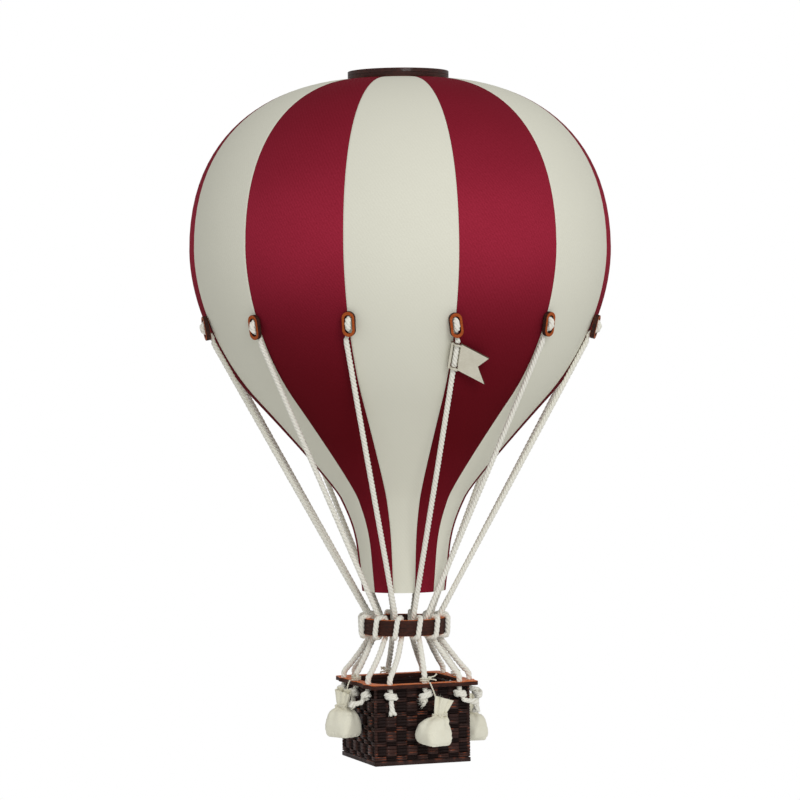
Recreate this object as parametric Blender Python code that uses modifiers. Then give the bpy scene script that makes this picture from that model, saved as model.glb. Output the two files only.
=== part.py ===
"""A decorative hanging model of a hot air balloon, built piece by piece as the real one is made.

A striped cloth envelope of twelve gores hangs from a plywood ring. Twelve cotton ropes run from oval plywood
links on its seams to a plywood load ring, take one turn round that ring, and pass through the rim of a woven
basket, where each ends in a knot. Four sandbags hang on strings over the rim, and a pennant turns on one rope.

The origin is the centre of the top ring's upper face, where the model hangs. +Z is up and -Y is the front.
An azimuth is an angle about Z: 0 is the front, and 90 degrees is +X.
"""

import math
from collections import namedtuple

import bmesh
import bpy
from mathutils import Matrix, Vector

MM = 0.001
GAP = 0.3 * MM  # between pieces that touch on the real model

# The envelope, whose outline runs down from the crown to the mouth
GORES = 12
GORE_ANGLE = math.radians(360 / GORES)
SEAM_GAP = math.radians(0.25)
CLOTH = 1.5 * MM
# Knots of the outline in mm and degrees: radius, height, heading (0 outward, -90 down), handle before and after
ENVELOPE_KNOTS = (
    (31.0, -6.3, 0.0, 0.0, 46.9),
    (150.6, -127.1, -90.0, 94.5, 33.8),
    (104.5, -234.7, -133.5, 43.1, 12.0),
    (45.2, -304.3, -116.2, 11.9, 31.2),
    (29.6, -372.0, -98.2, 33.2, 0.0),
)
OUTLINE_STEPS = (11, 8, 3, 5)
GORE_STEPS = 4

# Plywood rings: outer radius, radial wall, top, height
TOP_RING = (36.1 * MM, 4.8 * MM, 0.0, 6.0 * MM)
LOAD_RING = (29.9 * MM, 4.2 * MM, -390.7 * MM, 11.4 * MM)
RING_EDGE = 0.5 * MM
RING_STEPS = 48

# Oval links on the seams
LINK_HEIGHT = -181.0 * MM
LINK_LENGTH, LINK_WIDTH, LINK_THICKNESS = 17.2 * MM, 8.9 * MM, 3.4 * MM
SLOT_LENGTH, SLOT_WIDTH = 12.4 * MM, 5.1 * MM
LINK_TILT = math.radians(10.5)  # its lower end stands off the cloth, over the rope

# Ropes
ROPE = 2.0 * MM
ROPE_PINCHED = 1.4 * MM
WRAP_SHIFT = 2.6 * MM  # each way along the ring, so that the two passes lie side by side
WRAP_SLACK = 1.8 * MM  # how far inside the ring a rope arrives
KNOT = 3.9 * MM
TAIL_START = 4.6 * MM

# Basket, square and turned about the vertical
BASKET_TURN = math.radians(20.0)
BASKET_HALF = 35.5 * MM
BASKET_WALL = 3.6 * MM
BASKET_FLOOR = 3.0 * MM
BASKET_BOTTOM = -491.2 * MM
RIM_TOP = -434.6 * MM
RIM_THICKNESS = 3.0 * MM
RIM_HALF = 39.6 * MM
RIM_BULGE = 1.7 * MM
RIM_CORNER = 5.0 * MM
RIM_INNER_HALF = 33.4 * MM
RIM_INNER_CORNER = 13.0 * MM
HOLE_OUT = 38.0 * MM
HOLE_SPACING = 26.0 * MM
HOLE_RADIUS = 2.4 * MM
WEAVE_COLUMNS = 9
WEAVE_COURSES = 5
WEAVE_FOOT = 3.6 * MM  # plain at the bottom
WEAVE_SHORT = 3.0 * MM  # a course that stands out in every other column, the corner ones among them
WEAVE_TALL = 7.1 * MM  # a course that stands out in the columns between
WEAVE_DEPTH = 0.9 * MM
WEAVE_BEVEL = 0.35 * MM

# Sandbags and their strings
BAG_OUT = 47.7 * MM
BAG_TOP = -446.2 * MM
STRING = 0.6 * MM
HINGE_OUT = RIM_HALF + RIM_BULGE + GAP + STRING
HINGE_HEIGHT = RIM_TOP + GAP + STRING
HINGE_SIDE = 3.0 * MM
# Rings of a bag in mm: depth below its top, half width, half depth, corner roundness (2 round, 6 nearly square)
BAG_RINGS = (
    (0.0, 8.2, 2.8, 2.6),
    (6.0, 7.2, 2.6, 2.4),
    (10.2, 4.9, 3.0, 2.0),
    (13.4, 4.9, 3.0, 2.0),
    (16.4, 9.2, 6.8, 2.2),
    (20.8, 12.7, 10.0, 2.8),
    (25.6, 13.6, 11.0, 3.6),
    (30.6, 12.9, 10.5, 4.4),
    (32.6, 11.4, 9.2, 4.4),
)
BAG_NECK = 2  # the string holds the bag between this ring and the next

# Pennant on the rope at azimuth 15 degrees, in mm along its rope and across it
PENNANT_AZIMUTH = math.radians(15)
PENNANT_CENTRE = -203.0 * MM
PENNANT_THICKNESS = 1.0 * MM
PENNANT_DROOP = math.radians(19)
PENNANT_HALF = 10.4 * MM
PENNANT_BAND = 6.6 * MM  # where the outer bands start
PENNANT_STRAP = 5.6 * MM  # where the strap between the slots ends
PENNANT_BOW = 2.9 * MM  # how far the bands bow to the front of the rope, and the strap behind it
PENNANT_COLUMNS = (-3.8 * MM, -3.2 * MM, -1.6 * MM, 1.6 * MM, 3.2 * MM, 14.0 * MM, 23.6 * MM)
PENNANT_NOTCH = 7.0 * MM

# Ropes. azimuth: degrees. rise: how far its link sits above LINK_HEIGHT. turn: how far the link leans, in degrees.
# aside: where the rope leaves the link, along the ring. lift: how far it stands off the cloth there. wrap: degrees
# from the azimuth to its turn round the lower ring. sag: how far it hangs inward below that ring. side and hole: its
# place in the rim. knot: how far its knot stands out. lean, away and tail: where its end points, along the rim, out
# from it and down. Lengths are in mm.
Rope = namedtuple("Rope", "azimuth rise turn aside lift wrap sag side hole knot lean away tail")
ROPES = (
    Rope(15, -0.3, 9.0, 0.3, 2.1, 3.5, -0.6, 0, 0, 0.0, -4.5, 0.0, 6.5),
    Rope(45, 0.0, 0.0, 0.0, 0.0, 0.5, 0.6, 0, 1, 0.0, 12.0, 0.5, 2.6),
    Rope(75, -1.5, 0.0, 0.0, 0.0, 0.0, 0.6, 1, -1, 4.6, -1.0, -1.0, 11.0),
    Rope(105, 0.0, 0.0, 0.0, 0.0, 0.0, 1.0, 1, 0, 0.0, -6.0, 0.0, 8.0),
    Rope(135, 0.6, 0.0, 0.0, 0.0, 0.0, 1.0, 1, 1, 0.0, 2.0, 0.0, 10.0),
    Rope(165, 0.0, 3.0, 0.0, 0.0, 3.0, 1.0, 2, -1, 0.0, 1.0, 0.0, 9.0),
    Rope(195, -0.8, 0.0, 0.0, 0.0, 6.0, 1.0, 2, 0, 0.0, -6.5, 0.0, 8.0),
    Rope(225, 0.0, -4.0, 0.0, 0.0, 5.0, 1.0, 2, 1, 0.0, -1.0, 0.0, 10.0),
    Rope(255, 0.0, 0.0, 0.0, 0.0, 2.0, 1.0, 3, -1, 0.0, 2.0, 0.0, 9.0),
    Rope(285, 0.0, 0.0, 0.0, 0.0, 2.0, 0.6, 3, 0, 0.0, -6.0, 0.0, 8.0),
    Rope(315, 0.0, 0.0, 0.0, 0.0, 5.0, 1.6, 3, 1, 0.0, -7.5, 8.6, 3.0),
    Rope(345, 1.8, 0.0, -1.5, 0.0, 4.0, 3.0, 0, -1, 0.0, 1.0, 0.0, 10.2),
)
# Sandbags: side of the rim, how far along that side, and how much lower than the highest in mm
SANDBAGS = (
    (0, 6.6, -1.4),
    (1, 5.4, 3.4),
    (2, 6.0, 1.0),
    (3, 5.0, -4.6),
)

# name: base colour, roughness
MATERIALS = {
    "cream_cloth": ((0.72, 0.70, 0.56), 0.75),
    "burgundy_cloth": ((0.19, 0.012, 0.024), 0.70),
    "plywood": ((0.34, 0.095, 0.030), 0.45),
    "dark_plywood": ((0.060, 0.022, 0.016), 0.35),
    "cotton_rope": ((0.73, 0.70, 0.60), 0.90),
    "muslin": ((0.76, 0.73, 0.60), 0.85),
    "pennant_card": ((0.66, 0.62, 0.50), 0.60),
}


def make_material(name):
    colour, roughness = MATERIALS[name]
    material = bpy.data.materials.new(name)
    material.use_nodes = True
    shader = material.node_tree.nodes["Principled BSDF"]
    shader.inputs["Base Color"].default_value = (*colour, 1.0)
    shader.inputs["Roughness"].default_value = roughness
    shader.inputs["Metallic"].default_value = 0.0
    return material


def collection(name):
    made = bpy.data.collections.new(name)
    bpy.context.scene.collection.children.link(made)
    return made


def outward(azimuth):
    return Vector((math.sin(azimuth), -math.cos(azimuth), 0.0))


def sideways(azimuth):
    """Along the rings in the direction in which azimuths grow."""
    return Vector((math.cos(azimuth), math.sin(azimuth), 0.0))


def at(azimuth, out, up, across=0.0):
    return outward(azimuth) * out + sideways(azimuth) * across + Vector((0.0, 0.0, up))


def add(name, data, material, where=Matrix.Identity(4)):
    """A named object for one sub-part, with its own material."""
    made = bpy.data.objects.new(name, data)
    data.materials.append(MADE[material])
    made.matrix_world = where
    BALLOON.objects.link(made)
    return made


def mesh_from(name, bm):
    data = bpy.data.meshes.new(name)
    bm.to_mesh(data)
    bm.free()
    return data


def tube(name, points, radius, material, radii=None, resolution=2):
    """A round curve through the points, with filled ends; radii holds each point's share of the radius."""
    data = bpy.data.curves.new(name, "CURVE")
    data.dimensions = "3D"
    data.bevel_depth = radius
    data.bevel_resolution = resolution
    data.use_fill_caps = True
    spline = data.splines.new("POLY")
    spline.points.add(len(points) - 1)
    for index, (target, point) in enumerate(zip(spline.points, points)):
        target.co = (*point, 1.0)
        target.radius = radii[index] if radii else 1.0
    return add(name, data, material)


def turned(name, profile, material):
    """A closed profile of (radius, height) points, turned about Z by a Screw modifier."""
    bm = bmesh.new()
    corners = [bm.verts.new((radius, 0.0, height)) for radius, height in profile]
    for index, corner in enumerate(corners):
        bm.edges.new((corner, corners[(index + 1) % len(corners)]))
    made = add(name, mesh_from(name, bm), material)
    screw = made.modifiers.new("turn", "SCREW")
    screw.angle = 2 * math.pi
    screw.steps = RING_STEPS
    screw.render_steps = RING_STEPS
    screw.use_merge_vertices = True
    screw.merge_threshold = 0.00001
    return made


def bezier(start, leave, arrive, end, steps):
    """Points along one stretch of a curve, without its last."""
    points = []
    for step in range(steps):
        t = step / steps
        u = 1 - t
        points.append(
            start * u**3 + (start + leave) * 3 * u * u * t + (end - arrive) * 3 * u * t * t + end * t**3
        )
    return points


def envelope_outline():
    """The outline of the cloth from the crown down to the mouth, as (radius, height)."""
    knots = []
    for radius, height, heading, before, after in ENVELOPE_KNOTS:
        angle = math.radians(heading)
        way = Vector((math.cos(angle), math.sin(angle))) * MM
        knots.append((Vector((radius, height)) * MM, way * before, way * after))
    points = []
    for (start, _, leave), (end, arrive, _), steps in zip(knots, knots[1:], OUTLINE_STEPS):
        points += bezier(start, leave, arrive, end, steps)
    return points + [knots[-1][0]]


def cloth_at(height):
    """Radius of the cloth at a height on its lower half, and its lean from the vertical there."""
    outline = envelope_outline()
    for above, below in zip(outline, outline[1:]):
        if above.x > 100 * MM and below.y <= height <= above.y:
            share = (height - above.y) / (below.y - above.y)
            lean = math.atan2(above.x - below.x, above.y - below.y)
            return above.x + share * (below.x - above.x), lean
    raise ValueError("no cloth at that height")


def set_in(outline, depth):
    """The outline moved inward by a depth, square to itself at each point."""
    moved = []
    for index, point in enumerate(outline):
        way = outline[min(index + 1, len(outline) - 1)] - outline[max(index - 1, 0)]
        way.normalize()
        moved.append(point + Vector((way.y, -way.x)) * depth)
    return moved


def make_gore(number):
    """One strip of the envelope between two seams, its section spun about Z; the first one faces the front."""
    material = "cream_cloth" if number % 2 == 0 else "burgundy_cloth"
    width = GORE_ANGLE - SEAM_GAP
    start = number * GORE_ANGLE - width / 2
    outside = envelope_outline()
    bm = bmesh.new()
    corners = [bm.verts.new(at(start, *point)) for point in outside + set_in(outside, CLOTH)[::-1]]
    section = bm.faces.new(corners)
    bmesh.ops.spin(
        bm, geom=[section], axis=(0, 0, 1), cent=(0, 0, 0), angle=width, steps=GORE_STEPS, use_merge=False
    )
    bmesh.ops.recalc_face_normals(bm, faces=bm.faces)
    name = f"gore_{number + 1:02d}"
    return add(name, mesh_from(name, bm), material)


def make_ring(name, sizes, material):
    """A flat-sided plywood hoop with its edges eased."""
    outer, wall, top, height = sizes
    inner, bottom = outer - wall, top - height
    profile = (
        (outer - RING_EDGE, top),
        (outer, top - RING_EDGE),
        (outer, bottom + RING_EDGE),
        (outer - RING_EDGE, bottom),
        (inner, bottom),
        (inner, top),
    )
    return turned(name, profile, material)


def stadium(length, width, steps):
    """Points round a slot shape whose long side lies along Y."""
    radius = width / 2
    straight = length / 2 - radius
    points = []
    for end in (1, -1):
        for step in range(steps + 1):
            angle = math.pi * step / steps + (0.0 if end > 0 else math.pi)
            points.append((radius * math.cos(angle), radius * math.sin(angle) + end * straight))
    return points


def flat_outline(name, outlines, thickness, material, where):
    """A flat piece from closed outlines, the first its edge and the others its holes."""
    data = bpy.data.curves.new(name, "CURVE")
    data.dimensions = "2D"
    data.fill_mode = "BOTH"
    data.extrude = thickness / 2
    for outline in outlines:
        spline = data.splines.new("POLY")
        spline.points.add(len(outline) - 1)
        spline.use_cyclic_u = True
        for target, (x, y) in zip(spline.points, outline):
            target.co = (x, y, 0.0, 1.0)
    return add(name, data, material, where)


def link_frame(rope):
    """Where a link lies: X along the ring, Y up its length and Z out from the cloth."""
    azimuth = math.radians(rope.azimuth)
    height = LINK_HEIGHT + rope.rise * MM
    radius, lean = cloth_at(height)
    stand = GAP + LINK_THICKNESS / 2 + LINK_LENGTH / 2 * math.sin(LINK_TILT)
    cloth_out = outward(azimuth) * math.cos(lean) - Vector((0, 0, 1)) * math.sin(lean)
    centre = at(azimuth, radius, height) + cloth_out * stand
    slope = lean - LINK_TILT
    across = sideways(azimuth)
    out = outward(azimuth) * math.cos(slope) - Vector((0, 0, 1)) * math.sin(slope)
    along = out.cross(across)
    turn = Matrix((across, along, out)).transposed().to_4x4()
    return Matrix.Translation(centre) @ turn @ Matrix.Rotation(math.radians(rope.turn), 4, "Z")


def make_link(number, rope):
    outlines = (stadium(LINK_LENGTH, LINK_WIDTH, 9), stadium(SLOT_LENGTH, SLOT_WIDTH, 6))
    name = f"link_{number + 1:02d}"
    return flat_outline(name, outlines, LINK_THICKNESS, "plywood", link_frame(rope))


def corner_arc(centre, first, last, shift_first, shift_last, steps=2):
    """Points round one corner of the load ring's section: out, up and along the ring."""
    reach = ROPE + GAP
    points = []
    for step in range(steps + 1):
        share = step / steps
        angle = math.radians(first + share * (last - first))
        shift = shift_first + share * (shift_last - shift_first)
        out, up = centre
        points.append((out + reach * math.cos(angle), up + reach * math.sin(angle), shift))
    return points


def ring_turn():
    """The rope's way down inside the load ring, under it, up outside, over it and down inside again."""
    outer, wall, top, height = LOAD_RING
    inner, bottom = outer - wall, top - height
    far, reach = WRAP_SHIFT, ROPE + GAP
    return (
        [(inner - reach - WRAP_SLACK, top + 1.0 * MM, -far), (inner - reach - 0.5 * WRAP_SLACK, top - 4.0 * MM, -far)]
        + corner_arc((inner, bottom), 180, 270, -far, -0.8 * far)
        + corner_arc((outer, bottom), 270, 360, -0.5 * far, -0.2 * far)
        + corner_arc((outer, top), 0, 90, 0.5 * far, 0.8 * far)
        + corner_arc((inner, top), 90, 180, 0.9 * far, far)
        + corner_arc((inner, bottom), 180, 208, far, far, 1)
    )


def side_frame(side):
    """A frame on one side of the basket: X along the side, Y out from it and Z up, at the centre's height 0."""
    azimuth = BASKET_TURN + side * math.pi / 2
    turn = Matrix((-sideways(azimuth), outward(azimuth), Vector((0, 0, 1)))).transposed().to_4x4()
    return turn


def on_side(side, along, out, up):
    """A point on one side of the basket; along grows with the azimuth."""
    return side_frame(side) @ Vector((-along, out, up))


def rope_points(rope):
    """The whole way of one rope, as (point, radius) pairs from its link to its tail."""
    frame = link_frame(rope)
    half = LINK_THICKNESS / 2
    slot_end = SLOT_LENGTH / 2
    pinched = ROPE_PINCHED + GAP
    behind = half + pinched
    leave_up = -LINK_LENGTH / 2 - (3.6 - rope.lift / 2) * MM
    leave_out = -behind + (rope.lift - 0.2) * MM
    way = []
    # how much of aside, up the link and out from it, in the link's own frame, with the rope's radius there
    for aside, along, out, radius in (
        (0.0, 3.7 * MM, -0.2 * MM, ROPE),
        (0.0, 2.8 * MM, 1.4 * MM, ROPE),
        (0.0, 1.3 * MM, 2.5 * MM, ROPE),
        (0.0, -0.5 * MM, 2.6 * MM, ROPE),
        (0.0, -2.1 * MM, 1.6 * MM, ROPE),
        (0.1, -slot_end + pinched + 0.8 * MM, 0.0, ROPE_PINCHED * 1.15),
        (0.2, -slot_end + pinched, -half, ROPE_PINCHED),
        (0.3, -slot_end + 0.7 * pinched, -half - 0.7 * pinched, ROPE_PINCHED),
        (0.5, -slot_end - 0.5 * MM, -behind, ROPE_PINCHED),
        (0.8, -LINK_LENGTH / 2 - 0.6 * MM, -behind, ROPE_PINCHED),
        (1.0, leave_up, leave_out, ROPE * 0.9),
    ):
        way.append((frame @ Vector((rope.aside * aside * MM, along, out)), radius))
    wrap = math.radians(rope.azimuth + rope.wrap)
    for out, up, shift in ring_turn():
        way.append((at(wrap, out, up, shift), ROPE))
    above = on_side(rope.side, rope.hole * HOLE_SPACING, HOLE_OUT, RIM_TOP + 4.0 * MM)
    leave = way[-1][0]
    inward = leave - above
    inward.z = 0.0
    sag = inward.normalized() * rope.sag * MM
    way.append((leave.lerp(above, 0.45) + sag, ROPE))
    way.append((leave.lerp(above, 0.8) + sag * 0.55, ROPE))
    way.append((above, ROPE))
    knot_out = max(HOLE_OUT, BASKET_HALF + GAP + KNOT) + rope.knot * MM
    knot_up = RIM_TOP - RIM_THICKNESS - GAP - 1.3 * KNOT - 0.35 * rope.knot * MM
    lean, away, tail = rope.lean * MM, rope.away * MM, rope.tail * MM
    under = on_side(rope.side, rope.hole * HOLE_SPACING, HOLE_OUT, RIM_TOP - RIM_THICKNESS - 0.7 * MM)
    way.append((under, ROPE))
    if rope.knot > 0.0:
        way.append((on_side(rope.side, rope.hole * HOLE_SPACING, HOLE_OUT + 1.0 * MM, under.z - 2.6 * MM), ROPE))
    # along the side, out from it and up, with the rope's radius there
    for along, out, up, radius in (
        (0.0, knot_out, knot_up + 0.6 * KNOT, 0.84 * KNOT),
        (0.0, knot_out, knot_up, KNOT),
        (0.0, knot_out, knot_up - 0.6 * KNOT, 0.84 * KNOT),
        (lean * 0.25, knot_out + away * 0.3, knot_up - TAIL_START, 0.85 * ROPE),
        (lean * 0.6, knot_out + away * 0.65, knot_up - TAIL_START - 0.4 * tail, 0.85 * ROPE),
        (lean, knot_out + away, knot_up - TAIL_START - 0.8 * tail, 1.15 * ROPE),
    ):
        way.append((on_side(rope.side, rope.hole * HOLE_SPACING + along, out, up), radius))
    return way


def make_rope(number, rope):
    way = rope_points(rope)
    points = [point for point, _ in way]
    radii = [radius / ROPE for _, radius in way]
    return tube(f"rope_{number + 1:02d}", points, ROPE, "cotton_rope", radii)


def rounded_square(half, corner, steps):
    """Points round a square with round corners."""
    points = []
    for quarter in range(4):
        start = quarter * math.pi / 2
        middle = Vector((half - corner, half - corner))
        middle.rotate(Matrix.Rotation(start, 2))
        for step in range(steps + 1):
            angle = start + step / steps * math.pi / 2
            points.append((middle.x + corner * math.cos(angle), middle.y + corner * math.sin(angle)))
    return points


def rim_outline():
    """The rim's outer edge, which swells a little at each rope hole."""
    points = []
    reach = 5.2 * MM
    for quarter in range(4):
        turn = Matrix.Rotation(quarter * math.pi / 2, 2)
        edge = []
        for hole in (-1, 0, 1):
            for step in (-1.0, -0.5, 0.0, 0.5, 1.0):
                swell = RIM_BULGE * math.cos(step * math.pi / 2)
                edge.append((RIM_HALF + swell, hole * HOLE_SPACING + step * reach))
        near = RIM_HALF - RIM_CORNER
        for step in (1, 2, 3):
            angle = step / 4 * math.pi / 2
            edge.append((near + RIM_CORNER * math.cos(angle), near + RIM_CORNER * math.sin(angle)))
        points += [tuple(turn @ Vector(point)) for point in edge]
    return points


def make_rim():
    outlines = [rim_outline(), rounded_square(RIM_INNER_HALF, RIM_INNER_CORNER, 5)]
    for quarter in range(4):
        turn = Matrix.Rotation(quarter * math.pi / 2, 2)
        for hole in (-1, 0, 1):
            centre = turn @ Vector((HOLE_OUT, hole * HOLE_SPACING))
            circle = []
            for step in range(10):
                angle = step * math.pi / 5
                circle.append((centre.x + HOLE_RADIUS * math.cos(angle), centre.y + HOLE_RADIUS * math.sin(angle)))
            outlines.append(circle)
    lift = Matrix.Translation((0, 0, RIM_TOP - RIM_THICKNESS / 2))
    where = lift @ Matrix.Rotation(BASKET_TURN, 4, "Z")
    return flat_outline("basket_rim", outlines, RIM_THICKNESS, "plywood", where)


def side_faces(bm, normal):
    return [face for face in bm.faces if face.normal.dot(normal) > 0.99]


def cut_side(bm, normal, point, across):
    """Cuts the faces of one side along a plane."""
    faces = side_faces(bm, normal)
    edges = {edge for face in faces for edge in face.edges}
    corners = {vert for face in faces for vert in face.verts}
    bmesh.ops.bisect_plane(
        bm, geom=[*corners, *edges, *faces], plane_co=point, plane_no=across, dist=1e-7
    )


def make_basket():
    """A square box whose sides stand in woven blocks, hollowed from above."""
    top = RIM_TOP - RIM_THICKNESS - GAP
    height = top - BASKET_BOTTOM
    body = BASKET_HALF - WEAVE_DEPTH
    bm = bmesh.new()
    bmesh.ops.create_cube(bm, size=1.0)
    bmesh.ops.scale(bm, vec=(2 * body, 2 * body, height), verts=bm.verts)
    column = 2 * body / WEAVE_COLUMNS
    foot = WEAVE_FOOT - height / 2
    lines = []
    for course in range(WEAVE_COURSES):
        short = foot + course * (WEAVE_SHORT + WEAVE_TALL)
        lines += [short, short + WEAVE_SHORT]
    for quarter in range(4):
        normal = Matrix.Rotation(quarter * math.pi / 2, 3, "Z") @ Vector((1, 0, 0))
        across = Matrix.Rotation(quarter * math.pi / 2, 3, "Z") @ Vector((0, 1, 0))
        for line in range(1, WEAVE_COLUMNS):
            cut_side(bm, normal, across * (line * column - body), across)
        for line in lines:
            cut_side(bm, normal, Vector((0, 0, line)), Vector((0, 0, 1)))
        blocks = []
        for face in side_faces(bm, normal):
            middle = face.calc_center_median()
            row = sum(middle.z > line for line in lines)
            place = int((middle.dot(across) + body) / column)
            if row > 0 and (row + place) % 2 == 1:
                blocks.append(face)
        bmesh.ops.inset_individual(bm, faces=blocks, thickness=WEAVE_BEVEL, depth=WEAVE_DEPTH)
    lift = Matrix.Translation((0, 0, (top + BASKET_BOTTOM) / 2))
    where = lift @ Matrix.Rotation(BASKET_TURN, 4, "Z")
    basket = add("basket", mesh_from("basket", bm), "dark_plywood", where)

    inside = body - BASKET_WALL
    bm = bmesh.new()
    bmesh.ops.create_cube(bm, size=1.0)
    bmesh.ops.scale(bm, vec=(2 * inside, 2 * inside, height), verts=bm.verts)
    hollow = bpy.data.objects.new("basket_hollow", mesh_from("basket_hollow", bm))
    hollow.matrix_world = Matrix.Translation((0, 0, BASKET_FLOOR)) @ where
    hollow.hide_render = True
    hollow.display_type = "WIRE"
    CUTTERS.objects.link(hollow)
    cut = basket.modifiers.new("hollow", "BOOLEAN")
    cut.operation = "DIFFERENCE"
    cut.solver = "EXACT"
    cut.object = hollow
    return basket


def superellipse(width, depth, power, steps):
    points = []
    for step in range(steps):
        angle = 2 * math.pi * (step + 0.5) / steps
        x, y = math.cos(angle), math.sin(angle)
        scale = (abs(x) ** power + abs(y) ** power) ** (-1 / power)
        points.append((width * x * scale, depth * y * scale))
    return points


def make_sandbag(number, side, along, lower):
    """A lofted bag from a flat fan of cloth through a round neck to a square base, hung from its hinge."""
    hinge = on_side(side, HINGE_SIDE, HINGE_OUT, HINGE_HEIGHT)
    pivot = bpy.data.objects.new(f"sandbag_{number + 1}_hinge", None)
    pivot.matrix_world = Matrix.Translation(hinge) @ side_frame(side)
    BALLOON.objects.link(pivot)

    bm = bmesh.new()
    rings = []
    for depth, width, thick, power in BAG_RINGS:
        ring = []
        for x, y in superellipse(width * MM, thick * MM, power, 16):
            place = (x - along * MM, BAG_OUT + y, BAG_TOP - (lower + depth) * MM)
            ring.append(bm.verts.new(place))
        rings.append(ring)
    for above, below in zip(rings, rings[1:]):
        for index in range(len(above)):
            after = (index + 1) % len(above)
            bm.faces.new((above[index], below[index], below[after], above[after]))
    bm.faces.new(rings[0])
    bm.faces.new(list(reversed(rings[-1])))
    bmesh.ops.recalc_face_normals(bm, faces=bm.faces)
    bm.transform(side_frame(side))
    bm.transform(pivot.matrix_world.inverted())
    bag = add(f"sandbag_{number + 1}", mesh_from("sandbag", bm), "muslin")
    bag.parent = pivot
    bag.matrix_parent_inverse = Matrix.Identity(4)

    # the string from the rim's edge down to the neck and nearly once round it
    neck, width, thick, _ = BAG_RINGS[BAG_NECK]
    neck = (neck + BAG_RINGS[BAG_NECK + 1][0]) / 2
    height = BAG_TOP - (lower + neck) * MM
    reach = STRING + GAP
    points = [hinge]
    for step in range(11):
        angle = math.radians(150 + step * 30)
        place = (
            (width * MM + reach) * math.sin(angle) - along * MM,
            BAG_OUT + (thick * MM + reach) * math.cos(angle),
            height + (5 - step) * 0.12 * MM,
        )
        points.append(side_frame(side) @ Vector(place))
    local = pivot.matrix_world.inverted()
    cord = tube(f"sandbag_cord_{number + 1}", [local @ point for point in points], STRING, "cotton_rope")
    cord.parent = pivot
    cord.matrix_parent_inverse = Matrix.Identity(4)


def make_tie(number, side):
    """The string's loop round the middle rope, lying on the rim, and its end at the rim's edge."""
    reach = ROPE + GAP + STRING
    points = []
    for step in range(11):
        angle = math.radians(15 - step * 27)
        along = reach * math.sin(angle)
        out = HOLE_OUT + reach * math.cos(angle)
        points.append(on_side(side, along, out, HINGE_HEIGHT + GAP))
    points.append(on_side(side, HINGE_SIDE, HINGE_OUT - 2.4 * STRING, HINGE_HEIGHT))
    return tube(f"sandbag_tie_{number + 1}", points, STRING, "cotton_rope")


def make_pennant():
    """A swallow-tailed card on the rope; its bands bow to the front of the rope and its strap behind it."""
    way = rope_points(next(rope for rope in ROPES if math.radians(rope.azimuth) == PENNANT_AZIMUTH))
    upper, lower = way[10][0], way[11][0]
    up = (upper - lower).normalized()
    centre = lower + up * ((PENNANT_CENTRE - lower.z) / up.z)
    across = sideways(PENNANT_AZIMUTH)
    turn = Matrix((across, up, across.cross(up))).transposed().to_4x4()
    where = Matrix.Translation(centre) @ turn

    rows = (PENNANT_HALF, PENNANT_BAND, PENNANT_STRAP, 0.0, -PENNANT_STRAP, -PENNANT_BAND, -PENNANT_HALF)
    inner = PENNANT_COLUMNS[1:5]
    bm = bmesh.new()
    grid = []
    for line, v in enumerate(rows):
        strap = 2 <= line <= 4
        points = []
        for u in PENNANT_COLUMNS:
            bow = 0.0
            if u in inner[1:3]:
                bow = -PENNANT_BOW if strap else PENNANT_BOW
            tip = PENNANT_NOTCH * (1 - abs(v) / PENNANT_HALF) if u == PENNANT_COLUMNS[-1] else 0.0
            reach = u - tip
            drop = max(reach, 0.0) * math.sin(PENNANT_DROOP)
            points.append(bm.verts.new((reach * math.cos(PENNANT_DROOP), v - drop, bow)))
        grid.append(points)
    for line, (above, below) in enumerate(zip(grid, grid[1:])):
        for index in range(len(above) - 1):
            slot = line in (1, 4) and 1 <= index <= 3
            if not slot:
                bm.faces.new((above[index], below[index], below[index + 1], above[index + 1]))
    pennant = add("pennant", mesh_from("pennant", bm), "pennant_card", where)
    solid = pennant.modifiers.new("card", "SOLIDIFY")
    solid.thickness = PENNANT_THICKNESS
    solid.offset = 0.0
    return pennant


for existing in list(bpy.data.objects):
    bpy.data.objects.remove(existing, do_unlink=True)

BALLOON = collection("hot_air_balloon")
CUTTERS = collection("cutters")
MADE = {name: make_material(name) for name in MATERIALS}

make_ring("top_ring", TOP_RING, "plywood")
make_ring("load_ring", LOAD_RING, "dark_plywood")
for index in range(GORES):
    make_gore(index)
for index, rope in enumerate(ROPES):
    make_link(index, rope)
    make_rope(index, rope)
make_basket()
make_rim()
for index, bag in enumerate(SANDBAGS):
    make_sandbag(index, *bag)
    make_tie(index, bag[0])
make_pennant()
bpy.context.view_layer.update()
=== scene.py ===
# %% [markdown]
# # Dressing a hanging balloon
# The object is a decoration about 49 cm tall: a striped cloth envelope over a light former, twelve cotton
# ropes, plywood rings and links, a small woven basket, four muslin sandbags and a blank pennant.
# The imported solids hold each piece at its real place. Here each one gets the surface that a maker would see.
# The pieces could be bought meshes or painted pictures, but they are worked out from a few sizes instead, so
# that each one can be changed, and so that it shows how it is made.

import random
from collections import namedtuple
from math import atan2, cos, exp, pi, radians, sin, sqrt, tau

import bmesh
import bpy
from mathutils import Matrix, Vector, noise


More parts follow.
